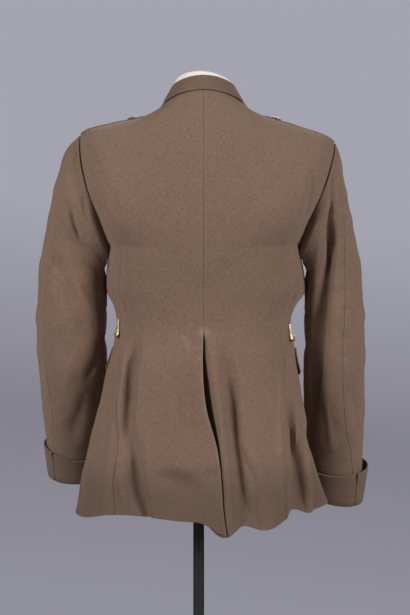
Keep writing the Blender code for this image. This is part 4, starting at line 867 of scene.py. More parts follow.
@dataclass
class Trunk:
    """The tunic's body: two backs with a hooked vent, and two fronts that carry its sides."""

    length: float = 0.727  # neckline to hem, one unit of run
    run_tip: float = 0.205  # of the shoulder points, the underarms and the vent's top
    run_underarm: float = 0.371
    run_vent: float = 0.565
    row_step: float = 0.0034
    column_step: float = 0.0034
    centre_rows: Rows = rows_of("""
        0 -.0715 1.5035 .045 1.455 .06 | .03 -.084 1.482 .056 1.434 .08 | .057 -.093 1.462 .066 1.417 .1
        .127 -.116 1.407 .088 1.38 .12 | .205 -.132 1.347 .104 1.33 .12 | .288 -.138 1.285 .116 1.275 .12
        .371 -.131 1.225 .12 1.222 .12 | .47 -.116 1.154 .117 1.154 .1 | .56 -.106 1.09 .112 1.09 .08
        .658 -.118 1.02 .118 1.02 .08 | .771 -.137 .94 .126 .94 .08 | .884 -.154 .86 .131 .86 .08
        1 -.165 .777 .134 .777 .08
    """)  # run, y and z of the centre back and the centre front, squareness
    # run, reach, z and y of the widest place, and how far across the side seam is
    side_rows: dict = pair(rows_of("""
        0 .06 1.487 -.002 .06 | .03 .0845 1.4655 -.002 .0845 | .057 .107 1.456 -.003 .107
        .127 .16 1.4455 -.005 .16 | .205 .2136 1.426 -.006 .2136 | .371 .1668 1.233 -.011 .162
        .385 .1676 1.2215 -.007 .1612 | .405 .1688 1.203 -.001 .16 | .44 .17 1.176 .003 .1585
        .47 .168 1.154 0 .156 | .5 .1565 1.131 -.008 .149 | .53 .151 1.109 -.014 .144
        .56 .1515 1.088 -.013 .143 | .6 .156 1.06 -.013 .1435 | .658 .1665 1.02 -.016 .1435
        .72 .177 .976 -.02 .1435 | .771 .187 .94 -.023 .143 | .85 .199 .884 -.026 .1425
        .92 .21 .833 -.028 .149 | 1 .2205 .774 -.03 .146
    """), rows_of("""
        0 .06 1.487 -.002 .06 | .03 .085 1.467 -.002 .085 | .057 .108 1.457 -.003 .108
        .127 .165 1.44 -.005 .165 | .205 .2275 1.4125 -.006 .2275 | .371 .1684 1.235 -.011 .1646
        .385 .1697 1.2225 -.006 .164 | .405 .1722 1.203 .001 .163 | .44 .1762 1.177 .006 .162
        .47 .176 1.154 .004 .16 | .5 .16 1.131 -.006 .152 | .53 .1525 1.109 -.012 .147
        .56 .1535 1.088 -.012 .145 | .6 .158 1.06 -.008 .14 | .658 .1635 1.02 -.006 .138
        .72 .171 .976 -.004 .138 | .771 .1755 .94 0 .138 | .85 .187 .884 .008 .1375
        .92 .201 .837 .019 .137 | 1 .2195 .786 .03 .1369
    """))
    armhole_back: float = 0.055  # how far the armhole bows to the back, and to the front
    armhole_front: float = 0.075
    armhole_bow: dict = pair(1.60, 1.25)  # power of its way inwards
    armhole_point: float = 0.4  # how straight it falls, as a share
    # share of the way down, and the turns of its edge on the back and on the front
    armhole_rows: Rows = rows_of("0 90 90 | .25 80 82 | .5 73 76 | .75 73 84 | 1 77 103")
    # side, runs of a large fold's top and bottom, turns there, half width in degrees, height
    fold_rows: Rows = rows_of("""
        -1 .55 .84 44 41 7 -.005 | -1 .56 .86 52 49 6 .0035 | -1 .74 1.1 39 25 9 -.008
        -1 .74 1.1 54 44 9 .005 | -1 .82 1.02 4 14 11 -.005 | 1 .58 1.1 13 17 7 -.009
        1 .76 1.1 26 27 8 .003 | 1 .68 1.1 58 38 7 -.012 | 1 .68 1.1 80 40 8 .008
        1 .7 1.1 98 57 14 -.026
    """)
    fold_fade: float = 0.12
    # side, middle and half width in degrees, and depth of each dip of the hem
    hem_rows: Rows = rows_of(
        "-1 -11.5 15 .024 | -1 34 34 -.01 | 1 8.5 10 .026 | 1 26 15 .017 | 1 43.5 7 -.012")
    hem_reach: float = 0.25
    vent_rows: Rows = rows_of("""
        .565 0 .0005 | .64 -.001 .0035 | .7 .001 .0075 | .75 .006 .0125 | .79 .014 .019 | .82 .021 .024
        .885 .029 .03 | .955 .033 .033 | 1 .038 .038
    """)  # run, x of the left back's edge and of the gap beside it
    vent_dive: float = 0.011  # depth of the right back under the left one
    vent_slope: float = 0.009  # width over which it dives
    vent_ridge: float = 0.004  # height of the roll beside it, then half its width
    vent_ridge_half: float = 0.022
    underlap_drop: float = 0.035  # run from the vent's top to where the underlap begins
    underlap_fade: float = 0.05
    underlap: float = 0.028  # how far it goes under
    roll_rows: Rows = rows_of("""
        0 67 | .014 50 | .028 38 | .057 26.5 | .127 14.5 | .205 6.6 | .288 2.7 | .371 -1.5 | .45 -6.6
        .56 -7.8 | .77 -7 | 1 -6
    """)  # run and turn of the roll line and the front edge
    front_lap: float = 0.0032  # how far the right front lies below the left one
    front_lap_turns: tuple = (9.5, 24.0)
    dive_more: float = 0.0120  # further depth of the vent's gap where it is widest
    dive_place: tuple = (0.745, 0.160)  # run of that place, and half its reach
    dive_aside: float = 0.0042  # how far to the right the gap widens there
    edge_lift: float = 0.0022  # of the left edge of the vent
    tuck_depth: float = 0.0085  # how deep the lower armholes are drawn in at the back
    tuck_place: tuple = (0.76, 0.25)  # share of the armhole where they are deepest, and half the reach
    tuck_reach: float = 0.017  # how far from the seam this is felt
    seam_pull: float = 0.0001  # of each edge away from its seam
    crease_rows: Rows = rows_of("""
        .545 -49 .875 -37.5 0 14 -8.8 | .56 -41 .86 -31 0 4.5 2.8 | .56 -58 .82 -43 0 8 3
        .82 -36.5 1.06 -19 -3 8 -12 | .85 -43 1.04 -29 -2 8 3.6 | .905 -24 .93 0 5 15 -7.5
        .88 -15 .888 0 3 8 2.4 | .905 -1 .87 8 0 8 -3.4 | .59 -11 .87 -6.5 3 15 -6.8
        .68 -16 .9 -17 4 13 3.2 | .61 5.5 1.03 13.5 2 7 4.4 | .605 13.6 1.04 19.5 -2 8.5 -8
        .59 11 .67 16 0 9 -3.2 | .83 18 .95 26.5 2 7 -4.6 | .905 26 1.03 24 0 9 -5.2
        .87 32 1.03 31 0 9 2.4 | .6 52 .93 38 0 6 2.4 | .71 59 1.06 45 0 9 -13 | .76 67 1.04 48 0 7 5
        .77 74 1.03 59 0 11 -9 | .538 1.5 .548 15 0 2 -1.3 | .529 2 .54 14 0 2.4 .9
        .55 -9 .575 -2 1 3 -.8 | .36 -52 .565 -57 3 8 -2.6 | .36 -41 .56 -43 0 10 1.4
        .42 -60 .54 -66 2 6 -2 | .03 -28 .075 -7 3 7 -1.7 | .02 -9 .08 -3.5 0 5 -1.2
        .225 49 .345 63 0 8 -3.8 | .23 42 .33 52 0 9 1.4 | .235 -51 .325 -60 0 6 -2.2
        .4 60 .54 66 2 7 -2.4 | .5 50 .555 70 1 5 -1.5 | .5 -52 .552 -72 1 5 -1.5
        .395 -112 .51 -148 4 11 -2.6 | .43 -104 .545 -140 4 10 1.8 | .395 114 .52 150 -4 11 -2.6
        .44 104 .55 142 -4 10 1.8 | .48 -140 .466 -171 2 5 -1.6 | .6 -138 .588 -172 2 6 -1.8
        .596 136 .59 166 -2 6 -1.6 | .7 -134 1.03 -130 4 13 -3.2 | .72 -112 1.03 -104 4 12 2.6
        .7 -150 .96 -152 3 12 1.8 | .7 128 1.03 126 4 13 -3.2 | .69 112 1.03 106 4 12 2.4
        .72 150 .97 148 3 12 1.8 | .24 -98 .35 -120 3 9 -2.4 | .24 96 .35 118 -3 9 -2.4
        .56 -96 .61 -128 2 7 -1.8 | .56 92 .61 126 -2 7 -1.8 | .76 -86 1.03 -76 0 9 -2.4
        .72 -74 1.03 -64 0 9 2 | .32 100 .45 100 0 13 2.2 | .32 -100 .45 -100 0 13 2.2
    """)  # turns in degrees from the centre back, negative on the left
    quiet_neck: float = 0.11  # run by which the creases have their whole height
    mean_radius: float = 0.19  # of a panel's rings beside the armhole
    panel_width: dict = field(default_factory=lambda: {Panel.BACK: 0.21, Panel.FRONT: 0.30})
    # worn spots of the back: middle across and up, half width and height, and depth
    worn_places: Rows = rows_of("""
        .001 1.086 .011 .006 .42 | -.028 1.069 .005 .005 .28 | -.034 1.078 .004 .004 .28
        -.024 1.061 .003 .003 .28
    """)
    pucker_height: float = 0.00030
    pucker_reach: float = 0.007
    pucker_waves: Rows = ((0.0155, 0.6), (0.0110, 0.4), (0.0270, 0.5))  # wavelength and share

    def __post_init__(self) -> None:
        """Makes the tables from the rows."""
        self.centre = Table("run back_y back_z front_y front_z square", self.centre_rows)
        self.sides = {side: Table("run reach side_z side_y seam_x", rows)
                      for side, rows in self.side_rows.items()}
        self.armhole = Table("way back_turn front_turn", self.armhole_rows)
        self.vent = Table("run edge_x gap_x", self.vent_rows)
        self.roll = Table("run turn", self.roll_rows)
        self.creases = Creases(self.crease_rows, self.length, 0.185)

    @staticmethod
    def factors(turn: Array, square: Array) -> tuple[Array, Array]:
        """How far across and how deep a ring goes at a turn, as shares of its reach and depth."""
        across, deep = np.sin(turn), np.cos(turn)
        return across * (1 + square * deep ** 2), deep * (1 + square * across ** 2)

    def turn_across(self, share: Array, square: Array) -> Array:
        """The turn, up to a quarter, at which a ring goes across by a share of its reach."""
        low, high = np.zeros_like(share), np.full_like(share, pi / 2)
        for _ in range(40):
            middle = (low + high) / 2
            short = self.factors(middle, square)[0] < share
            low, high = np.where(short, middle, low), np.where(short, high, middle)
        return (low + high) / 2

    def centre_line(self, panel: Panel, run: Array, deep: Array) -> tuple[Array, Array]:
        """Depth and height of a panel's centre line, or of the opposite one where deep is negative."""
        level, back = self.centre.at(run), (deep >= 0) == (panel is Panel.BACK)
        return tuple(np.where(back, level["back_" + axis], level["front_" + axis]) for axis in "yz")

    def way_down(self, run: Array) -> Array:
        """A run's share of the way down the armhole."""
        return np.clip((run - self.run_tip) / (self.run_underarm - self.run_tip), 0.0, 1.0)

    def underarm(self, side: Side) -> tuple[float, float, float]:
        """The point where the side seam meets the armhole."""
        run = np.array(self.run_underarm)
        level, edge = self.centre.at(run), self.sides[side.value].at(run)
        turn = self.turn_across(edge["seam_x"] / edge["reach"], level["square"])
        _, deep = self.factors(turn, level["square"])
        y = edge["side_y"] + (level["back_y"] - edge["side_y"]) * deep
        z = level["back_z"] + (edge["side_z"] - level["back_z"]) * np.sin(turn) ** 2
        return float(edge["seam_x"]), float(y), float(z)

    def armhole_edge(self, panel: Panel, side: Side, way: Array) -> Array:
        """The armhole's points on a panel, way going from 0 at the shoulder to 1 at the underarm."""
        tip = self.sides[side.value].at(self.run_tip)
        low_x, low_y, low_z = self.underarm(side)
        fall = (1 - pointed_cosine(pi * way, self.armhole_point)) / 2
        bow = np.sin(pi * way) * (-self.armhole_back if panel is Panel.BACK else self.armhole_front)
        x = tip["reach"] + (abs(low_x) - tip["reach"]) * fall ** self.armhole_bow[side.value]
        return stack(x, tip["side_y"] + (low_y - tip["side_y"]) * fall + bow,
                     tip["side_z"] + (low_z - tip["side_z"]) * fall)

    def ring(self, panel: Panel, side: Side, run: Array) -> tuple[Array, Array, Array, Array]:
        """Reach, depth and height of a panel's rings at their widest, and the turn where it ends."""
        level, edge = self.centre.at(run), self.sides[side.value].at(run)
        square = level["square"]
        seam = self.turn_across(np.minimum(edge["seam_x"] / edge["reach"], 1.0), square)
        back = panel is Panel.BACK
        end = np.where(run <= self.run_tip, pi / 2, seam if back else pi - seam)
        way = self.way_down(run)
        held = self.armhole_edge(panel, side, way)
        low = self.sides[side.value].at(self.run_underarm)
        low_end = self.turn_across(np.array(low["seam_x"] / low["reach"]),
                                   self.centre.at(self.run_underarm)["square"])
        table_end = radians(self.armhole_rows[-1][1 if back else 2])
        true_end = low_end if back else pi - low_end
        turn = np.radians(self.armhole.at(way)[panel.value + "_turn"]) + (true_end - table_end) * way ** 3
        across, deep = self.factors(turn, square)
        centre_y, centre_z = self.centre_line(panel, run, deep)
        inside = (run > self.run_tip) & (run < self.run_underarm)
        held_y = (held[..., 1] - centre_y * np.abs(deep)) / (1 - np.abs(deep))
        held_z = centre_z + (held[..., 2] - centre_z) / np.sin(turn) ** 2
        return (np.where(inside, held[..., 0] / across, edge["reach"]),
                np.where(inside, held_y, edge["side_y"]),
                np.where(inside, held_z, edge["side_z"]), np.where(inside, turn, end))

    def plain(self, panel: Panel, side: Side, run: Array, turn: Array) -> Array:
        """Points of the outer face, before any fold."""
        reach, side_y, side_z, _ = self.ring(panel, side, run)
        across, deep = self.factors(turn, self.centre.at(run)["square"])
        centre_y, centre_z = self.centre_line(panel, run, deep)
        return stack(side.value * reach * across, side_y + (centre_y - side_y) * np.abs(deep),
                     centre_z + (side_z - centre_z) * np.sin(turn) ** 2)

    @staticmethod
    def sign(panel: Panel, side: Side) -> int:
        """1 or -1, so that the cross product down and across a panel points out of the body."""
        return side.value if panel is Panel.BACK else -side.value

    @staticmethod
    def from_back(panel: Panel, turn: Array) -> Array:
        """A panel's turn as degrees from the centre back."""
        return np.degrees(turn if panel is Panel.BACK else pi - turn)

    def fold_height(self, panel: Panel, side: Side, run: Array, turn: Array) -> Array:
        """How far the skirt's large folds move a point out of its ring."""
        from_back = self.from_back(panel, turn)
        height = np.zeros(np.broadcast(run, turn).shape)
        for own, top, bottom, turn_top, turn_bottom, half, high in self.fold_rows:
            if own == side.value:
                way = (run - top) / (bottom - top)
                centre = turn_top + (turn_bottom - turn_top) * way
                fade = ease((run - top) / self.fold_fade) * ease((bottom - run) / self.fold_fade)
                height += high * fade * bump((from_back - centre) / half)
        return height

    def lap_height(self, panel: Panel, side: Side, run: Array, points: Array, turn: Array) -> Array:
        """How far the right panels lie inside the left ones, at the vent and at the front."""
        if side is Side.LEFT:
            return np.zeros(points.shape[:-1])
        if panel is Panel.FRONT:
            first, last = self.front_lap_turns
            return -self.front_lap * (1 - ease((np.degrees(turn) - first) / (last - first)))
        middle, half = self.dive_place
        wide = bump((run - middle) / half)
        beside = points[..., 0] - self.vent.at(run)["gap_x"] - self.dive_aside * wide
        opened = ease((run - self.run_vent) / 0.03)
        ridge = self.vent_ridge * bump((beside - 0.6 * self.vent_ridge_half) / self.vent_ridge_half)
        dive = self.vent_dive + self.dive_more * wide
        return opened * (ridge - dive * ease(0.5 - beside / self.vent_slope))

    def folded(self, panel: Panel, side: Side, run: Array, turn: Array) -> Array:
        """Points of the outer face with the folds, the laps and the dips of the hem."""
        points = self.plain(panel, side, run, turn)
        normals = surface_normals(partial(self.plain, panel, side), run, turn, self.sign(panel, side))
        height = self.fold_height(panel, side, run, turn) + self.lap_height(panel, side, run, points, turn)
        points = points + normals * height[..., None]
        from_back = self.from_back(panel, turn)
        for own, middle, half, dip in self.hem_rows:
            if own == side.value:
                share = bump((from_back - middle) / half)
                points[..., 2] -= dip * share * ease((run - 1 + self.hem_reach) / self.hem_reach)
        return points

    def crease_height(self, panel: Panel, side: Side, run: Array, turn: Array) -> Array:
        """Height of the creases, quiet at the neck, on the shoulders and beside the armholes."""
        signed = side.value * np.radians(self.from_back(panel, turn))
        end = self.ring(panel, side, run)[3]
        near = np.abs(end - turn) * self.mean_radius
        armhole = (run > self.run_tip - 0.01) & (run < self.run_underarm + 0.01)
        calm = np.where(armhole, ease(near / 0.016), 1.0)
        from_back = np.abs(self.from_back(panel, turn))
        shoulder = 1 - bump((from_back - 90) / 34) * (1 - ease((run - self.run_tip) / 0.07))
        neck = np.maximum(ease((run - 0.02) / self.quiet_neck), 0.55 * ease(run / 0.03))
        if panel is Panel.FRONT:
            neck = ease((run - self.run_tip + 0.10) / 0.1)
        lapel = 1 - ease((from_back - 128) / 20) * (1 - ease((run - 0.44) / 0.05))
        return self.creases.height(run, signed) * calm * neck * shoulder * lapel

    def outer(self, panel: Panel, side: Side, run: Array, turn: Array) -> tuple[Array, Array]:
        """Points of the creased outer face and the folded face's normals."""
        run, turn = np.broadcast_arrays(np.asarray(run, dtype=float), turn)
        normals = surface_normals(partial(self.folded, panel, side), run, turn, self.sign(panel, side))
        height = self.crease_height(panel, side, run, turn)
        return self.folded(panel, side, run, turn) + normals * height[..., None], normals

    def start(self, panel: Panel, side: Side, run: Array) -> Array:
        """The turn where a panel starts: its centre seam, vent edge, roll line or front edge."""
        if panel is Panel.FRONT:
            return np.radians(self.roll.at(run)["turn"])
        vent = self.vent.at(run)
        under = (self.underlap - vent["gap_x"]) * ease((run - self.run_vent - self.underlap_drop)
                                                       / self.underlap_fade)
        past = vent["edge_x"] if side is Side.LEFT else under
        past = np.where(run < self.run_vent, 0.0, past)
        reach = self.sides[side.value].at(run)["reach"] * (1 + self.centre.at(run)["square"])
        return -np.arcsin(past / reach)

    def pucker(self, lengths: Array, margin: Array, phase: float) -> Array:
        """Small gathers beside a seam.

        Args:
            lengths: place along the seam, in metres.
            margin: distance from it.
            phase: where their waves start.

        Returns:
            Heights in metres.
        """
        wave = sum(share * np.sin(2 * pi * lengths / long + phase * (number + 1))
                   for number, (long, share) in enumerate(self.pucker_waves))
        return self.pucker_height * wave * np.exp(-margin / self.pucker_reach)

    def sheet(self, panel: Panel, side: Side, sleeves: "Sleeves") -> Sheet:
        """One panel as a sheet with rolled edges and gathers at its seams.

        Args:
            panel: which half it belongs to.
            side: its side.
            sleeves: what its armhole is sewn to.

        Returns:
            The sheet.
        """
        keep = (self.run_tip, self.run_underarm, self.run_vent)
        run = spaced(self.length, self.row_step, keep)[:, None]
        share = spaced(self.panel_width[panel], self.column_step)[None, :]
        start, end = self.start(panel, side, run), self.ring(panel, side, run)[3]
        turn = start + (end - start) * share
        run = run + 0 * turn
        points, normals = self.outer(panel, side, run, turn)
        back = panel is Panel.BACK
        held = (run[:, :1] > self.run_tip - 1e-6) & (run[:, :1] < self.run_underarm + 1e-6)
        way = self.way_down(run[held[:, 0], 0])
        normals[held[:, 0], -1] = sleeves.mitre(side, pi * way if back else 2 * pi - pi * way)
        edges = {Border.END: np.where(held, Edge.ARMHOLE.radius, Edge.SEAM.radius),
                 Border.BOTTOM: Edge.HEM, Border.START: Edge.SEAM if back else Edge.HEM}
        made = Sheet(panel.value + "_" + side.word, points, normals, edges,
                     direction=-side.value if not back else side.value)
        seam = (run <= self.run_tip) | (run >= self.run_underarm)
        height = self.pucker(run * self.length, made.margin(Border.END), 1.3) * seam
        if back:
            sewn = 1 - ease((run - self.run_vent + 0.01) / 0.02)
            beside = made.margin(Border.START)
            height = height + self.pucker(run * self.length, beside, 0.4) * sewn
            if side is Side.LEFT:
                height = height + self.edge_lift * (1 - sewn) * np.exp(-(beside / 0.006) ** 2)
        made.points = points + normals * height[..., None]
        if back:
            share = self.way_down(run[:, 0])
            inwards = sleeves.mitre(side, pi * share)[:, None]
            near = np.exp(-(made.margin(Border.END) / self.tuck_reach) ** 2)
            made.points = made.points - inwards * (self.tuck(share)[:, None] * near)[..., None]
        made.draw_in(self.seam_pull)
        made.wear_and_highlight, made.shade_and_tone = self.marks(panel, side, run, made)
        return made

    def tuck(self, share: Array) -> Array:
        """How deep the armhole is drawn in at a share of its way down the back."""
        middle, half = self.tuck_place
        return self.tuck_depth * bump((share - middle) / half)

    def marks(self, panel: Panel, side: Side, run: Array, made: Sheet) -> tuple[Array, Array]:
        """Worn pale places, a painted highlight along the vent's left edge and painted shade of a panel.

        Args:
            panel: which half it belongs to.
            side: its side.
            run: runs of its points.
            made: the panel's sheet.

        Returns:
            Wear with painted highlight, and painted shade, each from 0 to 1.
        """
        wear_and_highlight, shade_and_tone = np.zeros(run.shape), np.zeros(run.shape)
        x, z = made.points[..., 0], made.points[..., 2]
        if panel is Panel.BACK:
            for middle_x, middle_z, half_x, half_z, depth in self.worn_places:
                near = np.hypot((x - middle_x) / half_x, (z - middle_z) / half_z)
                wear_and_highlight += depth * np.exp(-near ** 2)
            edge = made.margin(Border.START)
            below = ease((run - self.run_vent) / 0.02)
            # painted highlight: the left back's edge along the open vent made paler where its roll catches
            # the light
            wear_and_highlight += 0.55 * below * np.exp(-edge / 0.0016) * (side is Side.LEFT)
            sewn = 1 - below
            wear_and_highlight += 0.10 * sewn * np.exp(-((edge - 0.0012) / 0.0008) ** 2)
            # painted shade of the broad trough to the left of the vent
            shade_and_tone += 0.10 * np.exp(-((x + 0.035) / 0.02) ** 2 - ((z - 0.99) / 0.05) ** 2)
        # painted shade: the left panels a little darker below the waist, and every panel darker towards the
        # hem, where less light falls
        shade_and_tone += 0.09 * ease((1.060 - z) / 0.08) * (side is Side.LEFT) + 0.46 * ease((0.885 - z) / 0.075)
        hem = made.margin(Border.BOTTOM)
        wear_and_highlight += 0.25 * np.exp(-hem / 0.0015)
        return np.clip(wear_and_highlight, 0, 1), np.clip(shade_and_tone, 0, 1)

    def build(self, wardrobe: Wardrobe, stitches: StitchTree, sleeves: "Sleeves") -> None:
        """Builds the four panels and their stitches."""
        for panel in Panel:
            for side in Side:
                made, lines = self.sheet(panel, side, sleeves), []
                if panel is Panel.FRONT:
                    lines = [made.path(Border.START, TOPSTITCH, first=0.47)]
                    lines += self.buttonholes() if side is Side.LEFT else []
                made.dress(wardrobe, stitches, lines)

    def buttonholes(self) -> list[Array]:
        """Rows of close stitches round each buttonhole of the left front."""
        lines = []
        for run in Buttons().front_runs:
            for gap in (-0.0011, 0.0011):
                turns = np.radians(np.linspace(-6.3, 0.8, 15))[None, :]
                runs = run + gap / self.length + 0 * turns
                points, normals = self.outer(Panel.FRONT, Side.LEFT, runs, turns)
                lines.append((points + normals * 0.00005)[0])
        return lines

    def yoke(self, side: Side, run: Array, turn: Array) -> Array:
        """Outer face across the shoulder, where a turn past a quarter goes on over the front."""
        back = self.plain(Panel.BACK, side, run, np.minimum(turn, pi / 2))
        front = self.plain(Panel.FRONT, side, run, pi - np.maximum(turn, pi / 2))
        return np.where((turn <= pi / 2)[..., None], back, front)

    def yoke_normals(self, side: Side, run: Array, turn: Array) -> Array:
        """Upward normals across the shoulder."""
        return surface_normals(partial(self.yoke, side), run, turn, side.value)


# ---- sleeves

@dataclass
class Sleeves:
    """Two-piece sleeves that grow out of the armholes, with a roped head and creases."""

    trunk: Trunk
    length: float = 0.63  # one unit of a sleeve's run
    ring_rows: dict = pair(rows_of("""
        0 .221 1.4215 .164 1.2305 -.0265 .0655 0 .022 .0125 1 45
        .025 .2255 1.4185 .166 1.228 -.0265 .066 0 .022 .0125 .5 46
        .06 .2395 1.402 .1682 1.222 -.026 .0675 0 .018 .013 .15 48
        .1 .2475 1.38 .169 1.215 -.022 .069 0 .012 .014 .03 50
        .15 .2558 1.352 .1702 1.207 -.014 .0695 0 .009 .012 0 54
        .25 .268 1.3 .1714 1.193 -.002 .068 0 .004 .009 0 58
        .37 .282 1.225 .1702 1.168 .008 .0655 0 0 .004 0 56
        .47 .2905 1.165 .1697 1.138 .013 .0635 0 0 .001 0 47
        .57 .2938 1.1 .1702 1.093 .018 .061 .003 0 0 0 42
        .66 .2925 1.045 .1712 1.043 .028 .0585 .006 0 0 0 44
        .75 .2902 .99 .1735 .989 .048 .056 .01 0 0 0 48
        .85 .288 .925 .179 .924 .078 .053 .014 0 0 0 51
        .93 .285 .875 .184 .873 .104 .05 .015 0 0 0 49
        1 .283 .828 .186 .827 .1255 .048 .015 0 0 0 49
    """), rows_of("""
        0 .2325 1.4095 .1665 1.2322 -.0265 .0655 0 .022 .0125 1 45
        .025 .2345 1.4055 .169 1.229 -.0265 .066 0 .022 .0125 .5 47
        .06 .239 1.3885 .1702 1.222 -.026 .0675 0 .018 .013 .15 50
        .1 .2422 1.369 .1722 1.215 -.022 .069 0 .012 .014 .03 54
        .15 .246 1.345 .1748 1.207 -.014 .0695 0 .009 .012 0 60
        .25 .256 1.295 .1784 1.191 -.002 .068 0 .004 .009 0 68
        .37 .269 1.23 .1786 1.164 .008 .0655 0 0 .004 0 72
        .47 .2785 1.17 .1778 1.133 .013 .0635 0 0 .001 0 74
        .57 .283 1.105 .1767 1.089 .017 .0615 0 0 0 0 78
        .66 .284 1.04 .1775 1.034 .024 .0595 .003 0 0 0 80
        .75 .285 .985 .179 .98 .04 .057 .007 0 0 0 78
        .85 .2885 .914 .18 .915 .07 .053 .012 0 0 0 70
        .93 .2885 .855 .183 .864 .097 .05 .015 0 0 0 56
        1 .2892 .78 .186 .7985 .123 .048 .015 0 0 0 49
    """))
    forearm_seam: float = 247.5  # degrees from the outer point, by way of the back
    round_run: float = 0.22  # from which the sleeve is round
    forward: float = 0.75  # how far the spread goes forwards, as a share of it
    row_step: float = 0.0034
    column_step: float = 0.0034
    rope_height: float = 0.0019  # of the ridge round the sleeve's head
    rope_place: float = 0.0080  # below the armhole
    rope_half: float = 0.0052
    crease_rows: dict = pair(rows_of("""
        .105 78 .21 113 3 8 -6.5 | .1 92 .19 124 3 8 2.6 | .028 92 .068 122 0 7 -4
        .315 30 .425 80 3 9 -3.6 | .375 76 .62 128 -5 10 -6 | .385 99 .59 150 -5 10 3.4
        .35 44 .56 72 -3 13 2.4 | .56 166 .74 110 3 10 -5.6 | .64 96 .78 70 2 12 2.6
        .74 120 .9 84 0 12 -3.2 | .3 -28 .43 -72 4 9 -3.4 | -.03 185 .27 185 0 26 3.6
        .48 -152 .545 -92 4 7 -3 | .56 -162 .605 -98 3 7 -2.6 | .64 -58 .77 -112 4 8 -2.6
        .2 -98 .335 -152 4 8 -2.8 | .09 -58 .215 -96 3 8 -2.6 | .51 22 .6 -32 3 8 2
        .69 32 .85 -12 3 9 -2.2 | .8 -152 .905 -98 2 7 -2 | .5 172 .52 220 2 6 -2.4
        .6 168 .63 214 2 6 -2.2
    """), rows_of("""
        .003 62 .055 82 0 5 -2 | .05 122 .48 142 6 9 3 | -.03 185 .27 185 0 26 3.6
        .466 84 .478 58 1 3.4 -1.6 | .526 86 .532 61 1 3.4 -1.7 | .602 86 .606 60 1 3.6 -1.7
        .648 87 .652 64 1 3.4 -1.5 | .562 88 .57 62 0 3.2 -1.2 | .565 96 .695 46 0 8 -2.6
        .75 113 .92 94 0 7 2.2 | .7 62 .865 38 4 9 -2.2 | .3 62 .455 38 5 10 -1.8
        .15 42 .305 28 4 10 1.6 | .3 -32 .43 -70 4 9 -2.8 | .475 -150 .54 -94 4 7 -3
        .56 -160 .6 -100 3 7 -2.6 | .64 -56 .775 -110 4 8 -2.6 | .205 -100 .33 -150 4 8 -2.8
        .09 -60 .21 -94 3 8 -2.6 | .52 18 .61 -34 3 8 2 | .8 -150 .905 -100 2 7 -2
        .5 176 .52 222 2 6 -2.4 | .61 172 .64 216 2 6 -2.2
    """))
    gully_rows: Rows = rows_of("""
        .022 80 6.5 0 | .07 90 7.5 -7 | .113 98 9.5 -13 | .225 102 12 -19 | .325 109 13.5 -20
        .432 118 15.5 -20 | .505 124 17 -20 | .585 129 18 -19 | .647 133 17.5 -18 | .763 140 15.5 -15
        .868 144 13 -9 | .935 146 11 0
    """)  # the right sleeve's deep fold, in front of its hind seam
    waves: Rows = rows_of("""
        .21 2 .4 .9 | .13 -3 2 .7 | .075 4 4 .45 | .05 -6 1 .25 | .033 9 3 .12 | .024 -13 5 .08
    """)

    def __post_init__(self) -> None:
        """Makes the tables from the rows."""
        columns = "run outer_x outer_z inner_x inner_z mid_y deep drop slant spread bind seam"
        self.tables = {side: Table(columns, rows) for side, rows in self.ring_rows.items()}
        self.creases = {side: Creases(rows, self.length, 0.064, self.waves)
                        for side, rows in self.crease_rows.items()}
        self.gully = Gully(self.gully_rows, 0.064)

    def seam(self, side: Side, run: Array | float) -> Array:
        """Angle of the hind-arm seam, in radians."""
        return np.radians(self.tables[side.value].at(run)["seam"])

    def loop(self, side: Side, angle: Array) -> Array:
        """The armhole as the sleeve's first ring, by the angle from the shoulder point over the back."""
        angle = np.mod(angle, 2 * pi)
        way = np.where(angle <= pi, angle / pi, 2 - angle / pi)
        points = np.where((angle <= pi)[..., None],
                          *(self.trunk.armhole_edge(panel, side, way) for panel in Panel))
        points[..., 0] *= side.value
        return points

    def plain(self, side: Side, run: Array, angle: Array) -> Array:
        """Outer face of a sleeve at a run down the arm and an angle round it, without creases."""
        level = self.tables[side.value].at(run)
        middle_x, middle_z = ((level["outer_" + axis] + level["inner_" + axis]) / 2 for axis in "xz")
        half_x, half_z = ((level["outer_" + axis] - level["inner_" + axis]) / 2 for axis in "xz")
        from_outer = np.abs(np.mod(angle + pi, 2 * pi) - pi)
        point = self.trunk.armhole_point * (1 - ease(run / self.round_run))
        outer, back = pointed_cosine(from_outer, point), np.sin(angle)
        oval = stack(side.value * (middle_x + half_x * outer + level["spread"] * back ** 2),
                     level["mid_y"] + level["slant"] * outer - level["deep"] * back
                     + self.forward * level["spread"] * back ** 2,
                     middle_z + half_z * outer - level["drop"] * back)
        bind = (level["bind"] + 0 * angle)[..., None]
        return oval * (1 - bind) + self.loop(side, angle) * bind

    def normals(self, side: Side, run: Array, angle: Array) -> Array:
        """Outward normals of the whole tube, so that both halves agree at their seams."""
        return surface_normals(partial(self.plain, side), run, angle, -side.value)

    def outer(self, side: Side, run: Array, angle: Array) -> tuple[Array, Array]:
        """Points of the creased outer face and the plain face's normals."""
        points, normals = self.plain(side, run, angle), self.normals(side, run, angle)
        height = self.creases[side.value].height(run, angle)
        if side is Side.RIGHT:
            height = height + self.gully.height(run, angle)
        height = height * ease(run / 0.045) * (1 - ease((run - 0.885) / 0.045))
        down = run * self.length
        head = ease((np.cos(angle) + 0.45) / 0.7) * ease(down / 0.004)
        rope = self.rope_height * np.exp(-((down - self.rope_place) / self.rope_half) ** 2) * head
        return points + normals * (height + rope)[..., None], normals

